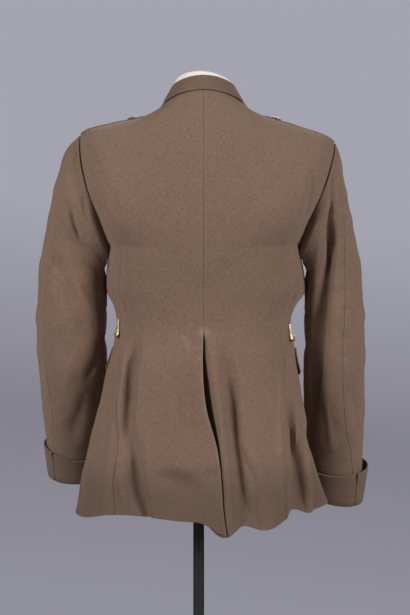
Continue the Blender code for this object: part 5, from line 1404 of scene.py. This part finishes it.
    def mitre(self, side: Side, angle: Array) -> Array:
        """Normals along the armhole, halfway between the panels' and the sleeve's."""
        angle = np.mod(angle, 2 * pi)
        own = self.normals(side, np.zeros_like(angle), angle)
        result = own.copy()
        for panel, chosen, way in ((Panel.BACK, angle <= pi, angle / pi),
                                   (Panel.FRONT, angle > pi, 2 - angle / pi)):
            way = np.clip(way, 0.01, 0.99)
            run = self.trunk.run_tip + (self.trunk.run_underarm - self.trunk.run_tip) * way
            turn = self.trunk.ring(panel, side, run)[3]
            body = surface_normals(partial(self.trunk.folded, panel, side), run,
                                   turn - 2 * NORMAL_STEP, self.trunk.sign(panel, side))
            result = np.where(chosen[..., None], body, result)
        return unit(unit(result) + own)

    def sheet(self, kind: str, side: Side) -> Sheet:
        """One half of a sleeve as a sheet.

        Args:
            kind: top or under.
            side: its side.

        Returns:
            The sheet.
        """
        run = spaced(self.length, self.row_step)[:, None]
        seam, forearm = self.seam(side, run), radians(self.forearm_seam)
        start, end = (forearm - 2 * pi + 0 * seam, seam) if kind == "top" else (seam, forearm + 0 * seam)
        angle = start + (end - start) * spaced(0.21, self.column_step)[None, :]
        run = run + 0 * angle
        points, normals = self.outer(side, run, angle)
        normals[0] = self.mitre(side, angle[0])
        edges = {Border.TOP: Edge.ARMHOLE, Border.START: Edge.SEAM, Border.END: Edge.SEAM}
        made = Sheet("sleeve_" + kind + "_" + side.word, points, normals, edges,
                     direction=-side.value, rests_on=("back_" + side.word, "front_" + side.word))
        hind = Border.END if kind == "top" else Border.START
        height = self.trunk.pucker(run * self.length, made.margin(hind), 2.2) * ease(run / 0.05)
        height *= 1 - ease((run - 0.885) / 0.045)
        made.points = points + normals * height[..., None]
        around = np.mod(angle, 2 * pi)
        tuck = self.trunk.tuck(np.clip(around / pi, 0, 1)) * (around <= pi)
        near = np.exp(-(run * self.length / self.trunk.tuck_reach) ** 2)
        made.points -= self.mitre(side, np.clip(around, 0.1, pi - 0.1)) * (tuck * near)[..., None]
        made.draw_in(self.trunk.seam_pull)
        made.points[0] += unit(made.points[1] - made.points[0]) * self.trunk.seam_pull
        made.shade_and_tone = np.zeros(run.shape)
        if kind == "top" and side is Side.LEFT:
            made.wear_and_highlight = 0.10 * np.exp(-((made.margin(Border.END) - 0.0015) / 0.001) ** 2)
        return made

    def build(self, wardrobe: Wardrobe, stitches: StitchTree) -> None:
        """Builds the four halves."""
        for side in Side:
            for kind in ("top", "under"):
                self.sheet(kind, side).dress(wardrobe, stitches)


@dataclass
class Cuffs:
    """Turned-back cuffs with a slit at the hind-arm seam."""

    sleeves: Sleeves
    cloth: float = 0.002
    sizes: dict = pair((0.055, 0.041, 0.0020, 0.0016),  # depths, then flares, outer and back
                       (0.038, 0.034, 0.0080, 0.0016))
    rise: float = 0.0034  # outer face above the sleeve at the fold
    lead: float = 0.0007  # of the inner edge below the sleeve's end
    fold_down: float = 0.0020
    slit: float = 0.0012  # gap at the seam
    slit_depth: float = 0.014  # height of the part that opens, then how far each edge does
    slit_open: float = 0.0015
    columns: int = 150
    fold_steps: int = 14
    rows: int = 22
    ripple: float = 0.0004
    rubbed: dict = pair(0.16, 0.38)  # pale upper edge: painted highlight where it catches the light, stronger on the right, with some wear

    def ring(self, side: Side, angles: Array, down: Array, out: Array) -> Array:
        """Points round the sleeve, down from its end and out from its outer face."""
        run = np.minimum(1.0 + down / self.sleeves.length, 1.0)[None, :]
        angle = angles[None, :]
        end = np.ones_like(run)
        ahead = unit(self.sleeves.plain(side, end, angle) - self.sleeves.plain(side, end - 0.01, angle))
        below = np.maximum(down, 0.0)[None, :, None]
        outward = self.sleeves.normals(side, run, angle) * (out + 0 * angle)[..., None]
        return (self.sleeves.plain(side, run, angle) + ahead * below + outward)[0]

    def sheet(self, side: Side) -> Sheet:
        """One cuff as a sheet, from inside the sleeve's end over its fold to its top edge."""
        centre, radius = (self.rise - self.cloth) / 2, (self.rise + self.cloth) / 2
        bends = [(-self.cloth, self.lead)]
        bends += [(centre - radius * cos(bend), self.fold_down + radius * sin(bend))
                  for bend in np.linspace(0, pi, self.fold_steps)]
        outer_depth, back_depth, outer_flare, back_flare = self.sizes[side.value]
        angles = float(self.sleeves.seam(side, 1.0)) + 2 * pi * np.linspace(0.0, 1.0, self.columns + 1)
        share = np.clip(np.cos(angles), 0, 1)
        depth = back_depth + (outer_depth - back_depth) * share
        flare = back_flare + (outer_flare - back_flare) * share ** 2
        rows = [self.ring(side, angles, 0 * angles + down, out + 0 * angles) for out, down in bends]
        shares = np.append(np.linspace(0, 1, self.rows)[1:-1], (0.975, 0.99, 1.0))
        for part in shares:
            wave = self.ripple * (np.sin(5 * angles + 3 * part) + 0.6 * np.sin(11 * angles + 2.0))
            rows.append(self.ring(side, angles, self.fold_down - depth * part,
                                  self.rise + flare * part + wave * part * (1.2 - part)))
        points = np.array(rows)
        height = np.concatenate([np.zeros(len(bends)), depth[0] * shares])
        notch = ease((height - depth[0] + self.slit_depth) / self.slit_depth)
        notch = (self.slit / 2 + self.slit_open * notch)[:, None]
        for first, step in ((0, 1), (-1, -1)):
            away = unit(points[:, first + step] - points[:, first])
            for column in range(6):
                points[:, first + step * column] += away * notch * (1 - column / 6)
        outward = self.sleeves.normals(side, np.array([[1.0]]), angles[None, -1:])[0, 0]
        edges = {Border.BOTTOM: Edge.HEM, Border.START: Edge.SEAM, Border.END: Edge.SEAM}
        made = Sheet("cuff_" + side.word, points, grid_normals(points, outward), edges,
                     direction=side.value, rests_on=("sleeve_top_" + side.word, "sleeve_under_" + side.word))
        # painted highlight along the lit upper edge
        made.wear_and_highlight = self.rubbed[side.value] * np.exp(-made.margin(Border.BOTTOM) / 0.0016)
        # painted shade: the whole cuff darker, low down, and darker still round the fold at its bottom
        made.shade_and_tone = 0.35 * np.exp(-((made.margin(Border.TOP) - 0.010) / 0.006) ** 2) + 0.40
        return made

    def build(self, wardrobe: Wardrobe, stitches: StitchTree) -> None:
        """Builds both cuffs and their stitches."""
        for side in Side:
            made = self.sheet(side)
            made.dress(wardrobe, stitches, [made.path(Border.BOTTOM, TOPSTITCH)])


# ---- lapels and collar

@dataclass
class Lapels:
    """Turned-back notched lapels that curl round the roll line."""

    trunk: Trunk
    edge_rows: Rows = rows_of("""
        .015 58.4 | .032 53 | .057 46.5 | .073 43 | .09 46.6 | .113 51.6 | .122 50.4 | .145 43.5
        .175 35.5 | .205 29.5 | .25 25.5 | .3 21.5 | .35 16 | .4 7.5 | .445 -5.2
    """)  # run and turn of the outer edge
    rise: float = 0.0034  # above the front
    # over and out of the roll's steps, curled and flat
    curl: Rows = ((-0.0041, -0.0010), (-0.0040, 0.0014), (-0.0026, 0.0033))
    flat: Rows = ((-0.0030, 0.0034), (-0.0020, 0.0034), (-0.0010, 0.0034))
    flat_runs: tuple = (0.270, 0.295)  # over which the right roll goes flat, then is cut back
    cut_runs: tuple = (0.300, 0.335)
    cut_turn: float = 3.2
    end_runs: dict = pair(0.445, 0.392)
    row_step: float = 0.0034
    width: float = 0.09  # rough, for the spacing of the points
    columns: int = 30

    def sheet(self, side: Side) -> Sheet:
        """One lapel as a sheet."""
        first, last = self.edge_rows[0][0], self.end_runs[side.value]
        kept = [row[0] for row in self.edge_rows if first < row[0] < last]
        even = np.linspace(first, last, int((last - first) * self.trunk.length / self.row_step))
        run = np.unique(np.concatenate([even, kept]).round(5))[:, None]
        edge_table = Table("run turn", self.edge_rows)
        roll, edge = self.trunk.roll.at(run)["turn"], edge_table.at(run)["turn"]
        flatten, cut = (ease((run - begin) / (end - begin)) * (side is Side.RIGHT)
                        for begin, end in (self.flat_runs, self.cut_runs))
        roll = roll + (np.maximum(roll, self.cut_turn - roll) - roll) * cut
        share = spaced(self.width, self.width / self.columns)[None, 3:]
        share = np.concatenate([[[0.0]], share], axis=1)
        turn = np.radians(roll + (np.maximum(edge, roll + 1.0) - roll) * share)
        points, normals = self.trunk.outer(Panel.FRONT, side, run + 0 * turn, turn)
        sideways = unit(points[:, 3] - points[:, 0])
        curl, flat = (Table("step over out", tuple((number, *row) for number, row in
                                                   enumerate((*rows, (0.0, self.rise)))))
                      for rows in (self.curl, self.flat))
        rolled = []
        for step in np.linspace(0, 2.75, 12):
            bent, level = curl.at(step), flat.at(step)
            over, out = (bent[name] + (level[name] - bent[name]) * flatten for name in ("over", "out"))
            rolled.append(points[:, 0] + sideways * over + normals[:, 0] * out)
        surface = np.concatenate([np.array(rolled).transpose(1, 0, 2), points + normals * self.rise], axis=1)
        edges = {**HEMMED, Border.START: Edge.SEAM}
        return Sheet("lapel_" + side.word, surface, grid_normals(surface, normals[-1, -1]), edges,
                     held="folded", direction=side.value, rests_on=("front_" + side.word,))

    def build(self, wardrobe: Wardrobe, stitches: StitchTree) -> None:
        """Builds both lapels and their stitches."""
        for side in Side:
            made = self.sheet(side)
            made.dress(wardrobe, stitches, [made.path(Border.END, TOPSTITCH)])


@dataclass
class Collar:
    """The turned-down collar: a stand inside the neckline, a crease and a fall."""

    trunk: Trunk
    half_rows: Rows = rows_of("""
        0 0 -.0665 1.52 .013 0 | 30 .0296 -.0572 1.5165 .014 29 | 60 .0508 -.033 1.5085 .017 59
        90 .0572 -.001 1.4985 .014 90 | 99 .0587 .008 1.4935 .033 103 | 106 .0596 .014 1.4895 .072 117
        113 .0598 .0195 1.4865 .073 135.9
    """)  # turn, fold x, y, z, then the run and turn of the fall's edge
    last_turn: float = 113.0
    sweep: float = 0.72  # how early the fall's sections swing down towards the notch
    fold: float = 0.0025  # outer radius of the crease
    tuck: float = 0.004  # how far the foot lies below the cloth, then inside the neckline
    inset: float = 0.0022
    rise: float = 0.0038  # of the fall above the shoulder
    sections: int = 133
    fold_steps: int = 13
    fall_steps: int = 20
    stand_steps: int = 8
    ripple: float = 0.0005

    def __post_init__(self) -> None:
        """Makes the table of the whole collar from its half."""
        left = tuple((-turn, -x, y, z, run, -fall) for turn, x, y, z, run, fall in self.half_rows[:0:-1])
        self.table = Table("turn fold_x fold_y fold_z fall_run fall_turn", left + self.half_rows)

    def section(self, turn: float) -> list[Array]:
        """Points from the stand's foot, over the crease, to the fall's edge, at a turn in degrees."""
        side = Side.LEFT if turn < 0 else Side.RIGHT
        row = {name: float(value) for name, value in self.table.at(turn).items()}
        here, neckline = np.array([[radians(abs(turn))]]), np.zeros((1, 1))
        root = self.trunk.yoke(side, neckline, here)[0, 0]
        axis = np.array((row["fold_x"], row["fold_y"], row["fold_z"]))
        outward = unit(np.array((axis[0], axis[1] + 0.004, 0.0)))
        inwards = unit(root - self.trunk.yoke(side, neckline + 0.01, here)[0, 0])
        normal = self.trunk.yoke_normals(side, neckline, here)[0, 0]
        foot = root + inwards * self.inset - normal * self.tuck
        rise = unit(axis - foot)
        up = unit(rise - outward * (rise @ outward))
        points = [foot + (axis - foot) * share - outward * self.fold
                  for share in np.linspace(0, 1, self.stand_steps, endpoint=False)]
        points += [axis + self.fold * (-outward * cos(bend) + up * sin(bend))
                   for bend in np.linspace(0, pi, self.fold_steps)]
        shares = np.concatenate([np.linspace(0, 1, self.fall_steps)[1:-1], (0.98, 0.993, 1.0)])[None, :]
        run = row["fall_run"] * shares
        fall_turn = radians(abs(turn)) + radians(abs(row["fall_turn"]) - abs(turn)) * shares ** self.sweep
        base, out = self.trunk.yoke(side, run, fall_turn)[0], self.trunk.yoke_normals(side, run, fall_turn)[0]
        lift = points[-1] - root
        wave = self.ripple * (sin(radians(9 * turn)) + 0.7 * sin(radians(17 * turn) + 1.0))
        for share, point, away in zip(shares[0], base, out):
            points.append(point + lift * (1 - share)
                          + away * (self.rise * share + wave * share * (1.3 - share)))
        return points

    def build(self, wardrobe: Wardrobe, stitches: StitchTree) -> None:
        """Builds the collar and its stitches."""
        turns = np.linspace(-self.last_turn, self.last_turn, self.sections)
        surface = np.array([self.section(float(turn)) for turn in turns]).transpose(1, 0, 2)
        outward = self.trunk.yoke_normals(Side.RIGHT, np.zeros((1, 1)),
                                          np.array([[radians(self.last_turn)]]))[0, 0]
        edges = {**HEMMED, Border.TOP: Edge.SEAM}
        made = Sheet("collar", surface, grid_normals(surface, outward), edges, held="folded",
                     rests_on=("back_left", "back_right"))
        crease = arc(surface, 0) - arc(surface, 0)[self.stand_steps + self.fold_steps // 2]
        made.wear_and_highlight = (0.12 * np.exp(-(crease / 0.003) ** 2)
                     + 0.12 * np.exp(-made.margin(Border.BOTTOM) / 0.0015))
        # a plain darker tone over the whole collar
        made.shade_and_tone = np.full(crease.shape, 0.22)
        made.dress(wardrobe, stitches, [made.path(Border.BOTTOM, TOPSTITCH)])


# ---- straps, flaps, buttons and hooks

@dataclass
class Straps:
    """Shoulder straps, sewn in at the sleeve head and rounded towards the collar."""

    trunk: Trunk
    strap_rows: Rows = rows_of("""
        .203 .0265 .0034 | .16 .0255 .0034 | .12 .0245 .0035 | .09 .0235 .0038 | .07 .0225 .0042
        .059 .018 .0044 | .053 .0095 .0044
    """)  # run, half width and height above the shoulder
    flush: float = 0.62  # share of that height at which the cloth itself lies
    width: float = 0.05  # rough, for the spacing of the points
    columns: int = 24
    row_step: float = 0.003

    def table(self) -> Table:
        """Half width and rise by run."""
        return Table("run half_width rise", tuple(sorted(self.strap_rows)))

    def sheet(self, side: Side) -> Sheet:
        """One strap as a sheet."""
        table = self.table()
        runs = spaced((table.keys[-1] - table.keys[0]) * self.trunk.length, self.row_step)
        across = spaced(self.width, self.width / self.columns)
        points, normals = [], []
        over = np.radians(np.linspace(40, 140, 201))[None, :]
        for run in table.keys[-1] + (table.keys[0] - table.keys[-1]) * runs:
            size = table.at(run)
            line = self.trunk.yoke(side, np.full_like(over, run), over)
            length = arc(line, 1)[0] - arc(line, 1)[0, 100]
            spots = np.interp((2 * across - 1) * size["half_width"], length, over[0])[None, :]
            out = self.trunk.yoke_normals(side, np.full_like(spots, run), spots)[0]
            points.append(self.trunk.yoke(side, np.full_like(spots, run), spots)[0]
                          + out * self.flush * size["rise"])
            normals.append(out)
        edges = {**HEMMED, Border.TOP: Edge.SEAM}
        made = Sheet("strap_" + side.word, np.array(points), np.array(normals), edges, held="laid",
                     rests_on=("back_" + side.word, "front_" + side.word))
        made.wear_and_highlight = 0.14 * np.exp(-made.margin(Border.START) / 0.0015)
        return made

    def build(self, wardrobe: Wardrobe, stitches: StitchTree) -> None:
        """Builds both straps and their stitches."""
        for side in Side:
            made = self.sheet(side)
            made.dress(wardrobe, stitches, [made.path(border, 0.005, last=0.94)
                                            for border in (Border.START, Border.END)])


@dataclass
class Flaps:
    """Hip pocket flaps that spring out a little at their lower edge."""

    trunk: Trunk
    turns: dict = pair((28.0, 83.0), (28.0, 97.0))  # of the front and rear ends
    top_run: float = 0.604
    depths: tuple = (0.040, 0.058)  # at the ends and in the middle
    rises: tuple = (0.0030, 0.0060)  # at the top and at the lower edge
    size: tuple = (0.18, 0.055)  # rough width and depth, for the spacing of the points
    columns: int = 66
    rows: int = 18

    def build(self, wardrobe: Wardrobe, stitches: StitchTree) -> None:
        """Builds both flaps and their stitches."""
        for side in Side:
            width, deep = self.size
            share = spaced(width, width / self.columns)[None, :]
            down = spaced(deep, deep / self.rows)[:, None]
            ends, middle = self.depths
            depth = ends + (middle - ends) * (1 - np.abs(2 * share - 1) ** 1.5)
            run = self.top_run + depth * down / self.trunk.length
            front, rear = self.turns[side.value]
            turn = np.radians(front + (rear - front) * share) + 0 * run
            points, normals = self.trunk.outer(Panel.FRONT, side, run, turn)
            surface = points + normals * (self.rises[0] + (self.rises[1] - self.rises[0])
                                          * down[..., None] ** 1.5)
            edges = {**HEMMED, Border.TOP: Edge.SEAM}
            made = Sheet("flap_" + side.word, surface, grid_normals(surface, normals[-1, -1]), edges,
                         held="laid", direction=-side.value, rests_on=("front_" + side.word,))
            made.dress(wardrobe, stitches, [made.path(border, TOPSTITCH)
                                            for border in (Border.START, Border.BOTTOM, Border.END)])


@dataclass
class Buttons:
    """Plain domed brass buttons on the front and the shoulder straps."""

    front_runs: tuple = (0.470, 0.590, 0.710, 0.830)
    front_radius: float = 0.0125
    strap_radius: float = 0.0080
    strap_run: float = 0.078
    lift: float = 0.0008
    profile: Rows = rows_of("""
        .84 0 | .93 .01 | .985 .05 | 1 .1 | .99 .15 | .95 .19 | .9 .205 | .86 .2 | .83 .22 | .76 .275
        .66 .325 | .54 .365 | .41 .395 | .28 .412 | .15 .42 | .05 .423
    """)  # radius and height as shares of the button's radius

    def add(self, name: str, place: Array, axis: Array, radius: float, brass: Material) -> None:
        """Adds one button in its node's place."""
        profile = [(radius * across, radius * height) for across, height in self.profile]
        hand_over(turned(name + "_dome", profile, place, axis, brass), "brass", name)

    def build(self, trunk: Trunk, straps: Straps, brass: Material) -> None:
        """Builds the front buttons and the straps' ones."""
        for number, run in enumerate(self.front_runs, start=1):
            points, normals = trunk.outer(Panel.FRONT, Side.LEFT, np.array([[run]]), np.zeros((1, 1)))
            self.add("button_%d" % number, points[0, 0] + normals[0, 0] * self.lift, normals[0, 0],
                     self.front_radius, brass)
        run, top = np.array([[self.strap_run]]), np.array([[pi / 2]])
        rise = float(straps.table().at(self.strap_run)["rise"]) + self.lift
        for side in Side:
            normal = trunk.yoke_normals(side, run, top)[0, 0]
            place = trunk.yoke(side, run, top)[0, 0] + normal * rise
            self.add("strap_button_" + side.word, place, normal, self.strap_radius, brass)


@dataclass
class Hooks:
    """Brass belt hooks that leave the side seams at the waist and turn up."""

    trunk: Trunk
    route: Rows = rows_of("""
        0 .004 | .01 .0042 | .02 .0044 | .026 .0052 | .0295 .0076 | .029 .0102 | .025 .0114 | .02 .0118
    """)  # distances down and out
    runs: dict = pair(0.533, 0.544)
    length: float = 0.020
    width: float = 0.0056
    thick: float = 0.0014
    backwards: float = 1.2  # how far each is turned to the back
    shown: float = 0.80  # share of that width between its rolled edges
    steps: int = 48

    def build(self, brass: Material) -> None:
        """Builds both hooks."""
        knots = np.array(self.route)
        far = np.concatenate([[0.0], np.cumsum(np.hypot(*np.diff(knots, axis=0).T))])
        table = Table("far below away", tuple((place, *knot) for place, knot in zip(far, self.route)))
        path = table.at(far[-1] * np.linspace(0, 1, self.steps))
        for side in Side:
            run = np.array([[self.runs[side.value]]])
            turn = self.trunk.ring(Panel.BACK, side, run)[3]
            ends = np.concatenate([run, run + self.length / self.trunk.length])
            turns = np.repeat(turn, 2, axis=0)
            points = self.trunk.folded(Panel.BACK, side, ends, turns)
            normals = surface_normals(partial(self.trunk.folded, Panel.BACK, side), ends, turns, side.value)
            down, out = unit(points[1, 0] - points[0, 0]), unit(normals[0, 0] + normals[1, 0])
            out = out + np.array([0.0, -self.backwards, 0.0])
            out = unit(out - down * (out @ down))
            half = np.cross(down, out) * self.shown * self.width / 2
            line = points[0, 0] + path["below"][:, None] * down + path["away"][:, None] * out
            tip = np.sqrt(np.clip(1 - (np.linspace(-0.96, 0.96, self.steps)) ** 16, 0, 1))
            across = 2 * np.sort(np.append(np.linspace(0, 1, 9), (0.03, 0.07, 0.93, 0.97))) - 1
            surface = line[:, None] + half * (across[None, :, None] * tip[:, None, None])
            edges = {Border.START: Edge.PLATE, Border.END: Edge.PLATE}
            made = Sheet("hook_" + side.word, surface, grid_normals(surface, -out), edges, thick=self.thick)
            hand_over(made.build(brass), "brass", made.name)


# ---- dress form and stand

@dataclass
class DressForm:
    """A smooth limbless torso with a neck, under the cloth."""

    trunk: Trunk
    cloth: float = 0.002
    neck_centre: tuple = (0.0015, -0.003)
    neck_rows: Rows = rows_of("""
        .047 .047 1.5165 .015 .004 | .0505 .0505 1.514 .015 .004 | .0515 .0515 1.509 .0135 .003
        .0505 .0515 1.48 .01 0 | .056 .054 1.46 .014 0
    """)  # reach, depth, height, tilt to the front and lean to the right
    body_rows: Rows = rows_of("""
        .057 .004 .014 | .085 .0014 .01 | .11 .0012 .008 | .14 .0014 .007 | .17 .0014 .006 | .2 .002 .006
        .226 .007 .006 | .26 .009 .006 | .31 .01 .006 | .34 .011 .006 | .371 .009 .007 | .45 .008 .008
        .52 .007 .009 | .57 .007 .014 | .62 .009 .02 | .7 .014 .022 | .79 .023 .026 | .85 .033 .034
        .872 .043 .044
    """)  # run, clearance at the side and at the centre
    bottom: float = 0.868
    half_count: int = 57
    between: int = 4  # rings from one named ring to the next
    mean_radius: float = 0.12  # by which the jersey's flat width goes

    def half(self, side: Side, run: float, side_clear: float, centre_clear: float) -> Array:
        """Half a ring under the cloth, from the centre back round the side to the front."""
        share = np.linspace(0, 1, 81)[None, :]
        halves = []
        for panel in Panel:
            turn = self.trunk.ring(panel, side, np.array([[run]]))[3] * share
            level = run + 0 * turn
            points = self.trunk.plain(panel, side, level, turn)[0]
            normals = surface_normals(partial(self.trunk.plain, panel, side), level,
                                      turn, self.trunk.sign(panel, side))[0]
            over = np.sin(np.minimum(turn[0], pi / 2)) ** 2
            clear = self.cloth + centre_clear + (side_clear - centre_clear) * over
            halves.append(points - normals * clear[:, None])
        line = np.concatenate([halves[0], halves[1][::-1]])
        length = arc(line[None], 1)[0]
        spots = np.linspace(0, length[-1], self.half_count)
        half = np.stack([np.interp(spots, length, line[:, axis]) for axis in range(3)], axis=-1)
        half[0, 0] = half[-1, 0] = 0.0
        return half

    def build(self, jersey: Material) -> None:
        """Builds the form from its rings."""
        size = 2 * (self.half_count - 1)
        angle = np.linspace(0, 2 * pi, size, endpoint=False)
        middle = self.neck_centre
        rings = [stack(middle[0] + across * np.sin(angle), middle[1] - deep * np.cos(angle),
                       height + tilt * np.cos(angle) - lean * np.sin(angle))
                 for across, deep, height, tilt, lean in self.neck_rows]
        for run, side_clear, centre_clear in self.body_rows:
            right = self.half(Side.RIGHT, run, side_clear, centre_clear)
            left = self.half(Side.LEFT, run, side_clear, centre_clear)
            rings.append(np.concatenate([right, left[-2:0:-1]]))
        rings[-1][:, 2] = self.bottom
        knots = np.array(rings)
        flat = Table("ring " + " ".join("c%d" % number for number in range(size * 3)),
                     tuple((number, *ring.ravel()) for number, ring in enumerate(knots)))
        steps = np.linspace(0, len(knots) - 1, (len(knots) - 1) * self.between + 1)
        found = flat.at(steps)
        rings = np.stack([found["c%d" % number] for number in range(size * 3)], axis=-1).reshape(-1, size, 3)
        top, bottom = rings[0].mean(axis=0), rings[-1].mean(axis=0)
        caps = [top + (rings[0] - top) * share for share in (0.3, 0.7, 0.92)]
        ends = [bottom + (rings[-1] - bottom) * share for share in (0.92, 0.5)]
        rings = np.concatenate([caps, rings, ends])
        count = len(rings)
        points = rings.reshape(-1, 3)
        faces, uv = [list(range(size))], [(0.0, 0.0)] * size
        faces.append([len(points) - size + step for step in range(size)][::-1])
        uv += [(0.0, 0.0)] * size
        down = np.mean(arc(rings, 0), axis=1)
        girth = 2 * pi * self.mean_radius
        for row in range(count - 1):
            for step in range(size):
                after = (step + 1) % size
                faces.append([row * size + step, (row + 1) * size + step,
                              (row + 1) * size + after, row * size + after])
                left, right = girth * step / size, girth * (step + 1) / size
                uv += [(left, -down[row]), (left, -down[row + 1]),
                       (right, -down[row + 1]), (right, -down[row])]
        hand_over(add_mesh("form_body", points, faces, jersey, np.array(uv)), "form_cover", "form")


@dataclass
class Stand:
    """The pole under the form and the round base that the part stands on."""

    pole_x: float = -0.0084
    pole_radius: float = 0.0095
    pole_top: float = 0.8677
    # radius and height of the turned base, from its underside to its top
    base_profile: Rows = rows_of(
        ".165 0 | .165 .007 | .16 .011 | .09 .015 | .03 .018 | .018 .021 | .016 .034")

    def rounded(self) -> list[tuple[float, float]]:
        """The base's profile with its corners rounded off."""
        knots = np.array(self.base_profile)
        result = [tuple(knots[0])]
        for before, here, after in zip(knots, knots[1:], knots[2:]):
            reach = min(np.linalg.norm(here - before), np.linalg.norm(after - here), 0.006) * 0.4
            start, end = here + unit(before - here) * reach, here + unit(after - here) * reach
            result += [tuple((1 - t) ** 2 * start + 2 * t * (1 - t) * here + t * t * end)
                       for t in (0.0, 0.25, 0.5, 0.75, 1.0)]
        return result + [tuple(knots[-1])]

    def build(self, paint: Material) -> None:
        """Builds the base and the pole."""
        foot, top = np.array((self.pole_x, 0.0, 0.0)), self.base_profile[-1][1]
        base = turned("base_plate", self.rounded(), foot, UP, paint, sides=128)
        heights = np.linspace(top + 0.0003, self.pole_top, 40)
        pole = turned("pole_tube", [(self.pole_radius, height) for height in heights], foot, UP, paint)
        hand_over(base, "stand_paint", "base")
        hand_over(pole, "stand_paint", "pole")


# ---- studio

@dataclass
class Studio:
    """Pale floor, soft light, a pale grey surround and the camera."""

    distance: float = 2.4  # of the camera from the body's middle
    scale: float = 1.747e-3  # metres to a pixel at that distance
    eye_x: float = 0.00262  # of the camera, and its height
    eye_z: float = 1.127
    floor_radius: float = 2.4
    lamps: tuple = (  # name, place, size and power in watts
        ("key_left", (-2.15, -1.75, 2.0), 0.9, 67.0), ("key_right", (2.15, -1.75, 2.0), 0.9, 67.0),
        ("top", (0.1, -0.5, 3.0), 1.2, 3.0), ("front", (0.4, 2.4, 2.3), 1.4, 30.0),
    )
    backdrop: tuple = (  # brightness from below upwards
        (0.335, (0.285, 0.282, 0.335)), (0.435, (0.224, 0.217, 0.262)), (0.550, (0.372, 0.370, 0.440)),
    )
    surround: float = 0.035  # light of the surround, to its own brightness
    warm: tuple = (1.0, 0.97, 0.93)  # colour of the lamps

    def camera(self) -> None:
        """Creates the camera, level and square to the back."""
        data = bpy.data.cameras.new("camera")
        data.sensor_fit, data.sensor_height = "VERTICAL", 36.0
        data.lens = 36.0 * self.distance / (615 * self.scale)
        eye = bpy.data.objects.new("camera", data)
        eye.location = (self.eye_x + CENTRE_SHIFT[0], CENTRE_SHIFT[1] - self.distance, self.eye_z)
        eye.rotation_euler = (pi / 2, 0.0, 0.0)
        bpy.context.scene.collection.objects.link(eye)
        bpy.context.scene.camera = eye

    def lamp(self, name: str, place: tuple, size: float, power: float) -> None:
        """Adds a soft square lamp that looks at the middle of the tunic.

        Args:
            name: the lamp's name.
            place: where it is.
            size: its edge, in metres.
            power: its power in watts.
        """
        data = bpy.data.lights.new(name, "AREA")
        data.shape, data.size, data.energy, data.color = "SQUARE", size, power, self.warm
        lamp = bpy.data.objects.new(name, data)
        lamp.location = place
        away = np.array(place) - np.array((0.0, 0.0, 1.12))
        lamp.rotation_euler = (float(np.arccos(away[2] / np.linalg.norm(away))), 0.0,
                               float(np.arctan2(away[1], away[0])) + pi / 2)
        bpy.context.scene.collection.objects.link(lamp)

    def world(self) -> None:
        """Sets the pale grey surround, darker below."""
        world = bpy.data.worlds.new("surround")
        bpy.context.scene.world = world
        world.use_nodes = True
        tree = world.node_tree
        tree.nodes.clear()
        kinds = ("TexCoord SeparateXYZ Math ValToRGB Math Background Background LightPath MixShader "
                 "OutputWorld")
        place, split, slope, ramp, offset, shown, lit, path, mix, out = (
            tree.nodes.new("ShaderNode" + kind) for kind in kinds.split())
        slope.operation = offset.operation = "MULTIPLY_ADD"
        slope.inputs[1].default_value = 0.10
        ramp.color_ramp.elements.new(0.5)
        for element, (spot, colour) in zip(ramp.color_ramp.elements, self.backdrop):
            element.position, element.color = spot, (*colour, 1.0)
        offset.inputs[1].default_value, offset.inputs[2].default_value = 0.75, 0.50
        lit.inputs["Color"].default_value = (0.90, 0.90, 1.0, 1.0)
        lit.inputs["Strength"].default_value = self.surround
        for start, output, end, into in (
                (place, "Generated", split, 0), (split, 0, slope, 0), (split, 2, slope, 2),
                (slope, 0, offset, 0), (offset, 0, ramp, 0), (ramp, 0, shown, "Color"),
                (path, "Is Camera Ray", mix, 0), (lit, 0, mix, 1), (shown, 0, mix, 2), (mix, 0, out, 0)):
            tree.links.new(start.outputs[output], end.inputs[into])

    def floor(self, material: Material) -> None:
        """Adds the round floor."""
        profile = [(self.floor_radius, -0.02), (self.floor_radius, 0.0)]
        turned("floor", profile, -CENTRE_SHIFT, UP, material, sides=160)

    def build(self, wardrobe: Wardrobe) -> None:
        """Sets up the whole studio."""
        bpy.context.scene.view_settings.view_transform = "Standard"
        self.camera()
        self.world()
        self.floor(wardrobe.floor)
        for lamp in self.lamps:
            self.lamp(*lamp)


def main() -> None:
    """Builds the whole tunic, its form and stand, and the studio."""
    logging.basicConfig(level=logging.INFO, format="%(message)s")
    studio, wardrobe, stitches = Studio(), Wardrobe(), StitchTree()
    studio.build(wardrobe)
    trunk = Trunk()
    sleeves, straps = Sleeves(trunk), Straps(trunk)
    trunk.build(wardrobe, stitches, sleeves)
    for part in (sleeves, Cuffs(sleeves), Lapels(trunk), Collar(trunk), straps, Flaps(trunk)):
        part.build(wardrobe, stitches)
    Buttons().build(trunk, straps, wardrobe.brass)
    Hooks(trunk).build(wardrobe.brass)
    DressForm(trunk).build(wardrobe.jersey)
    Stand().build(wardrobe.paint)


if __name__ == "__main__":
    main()
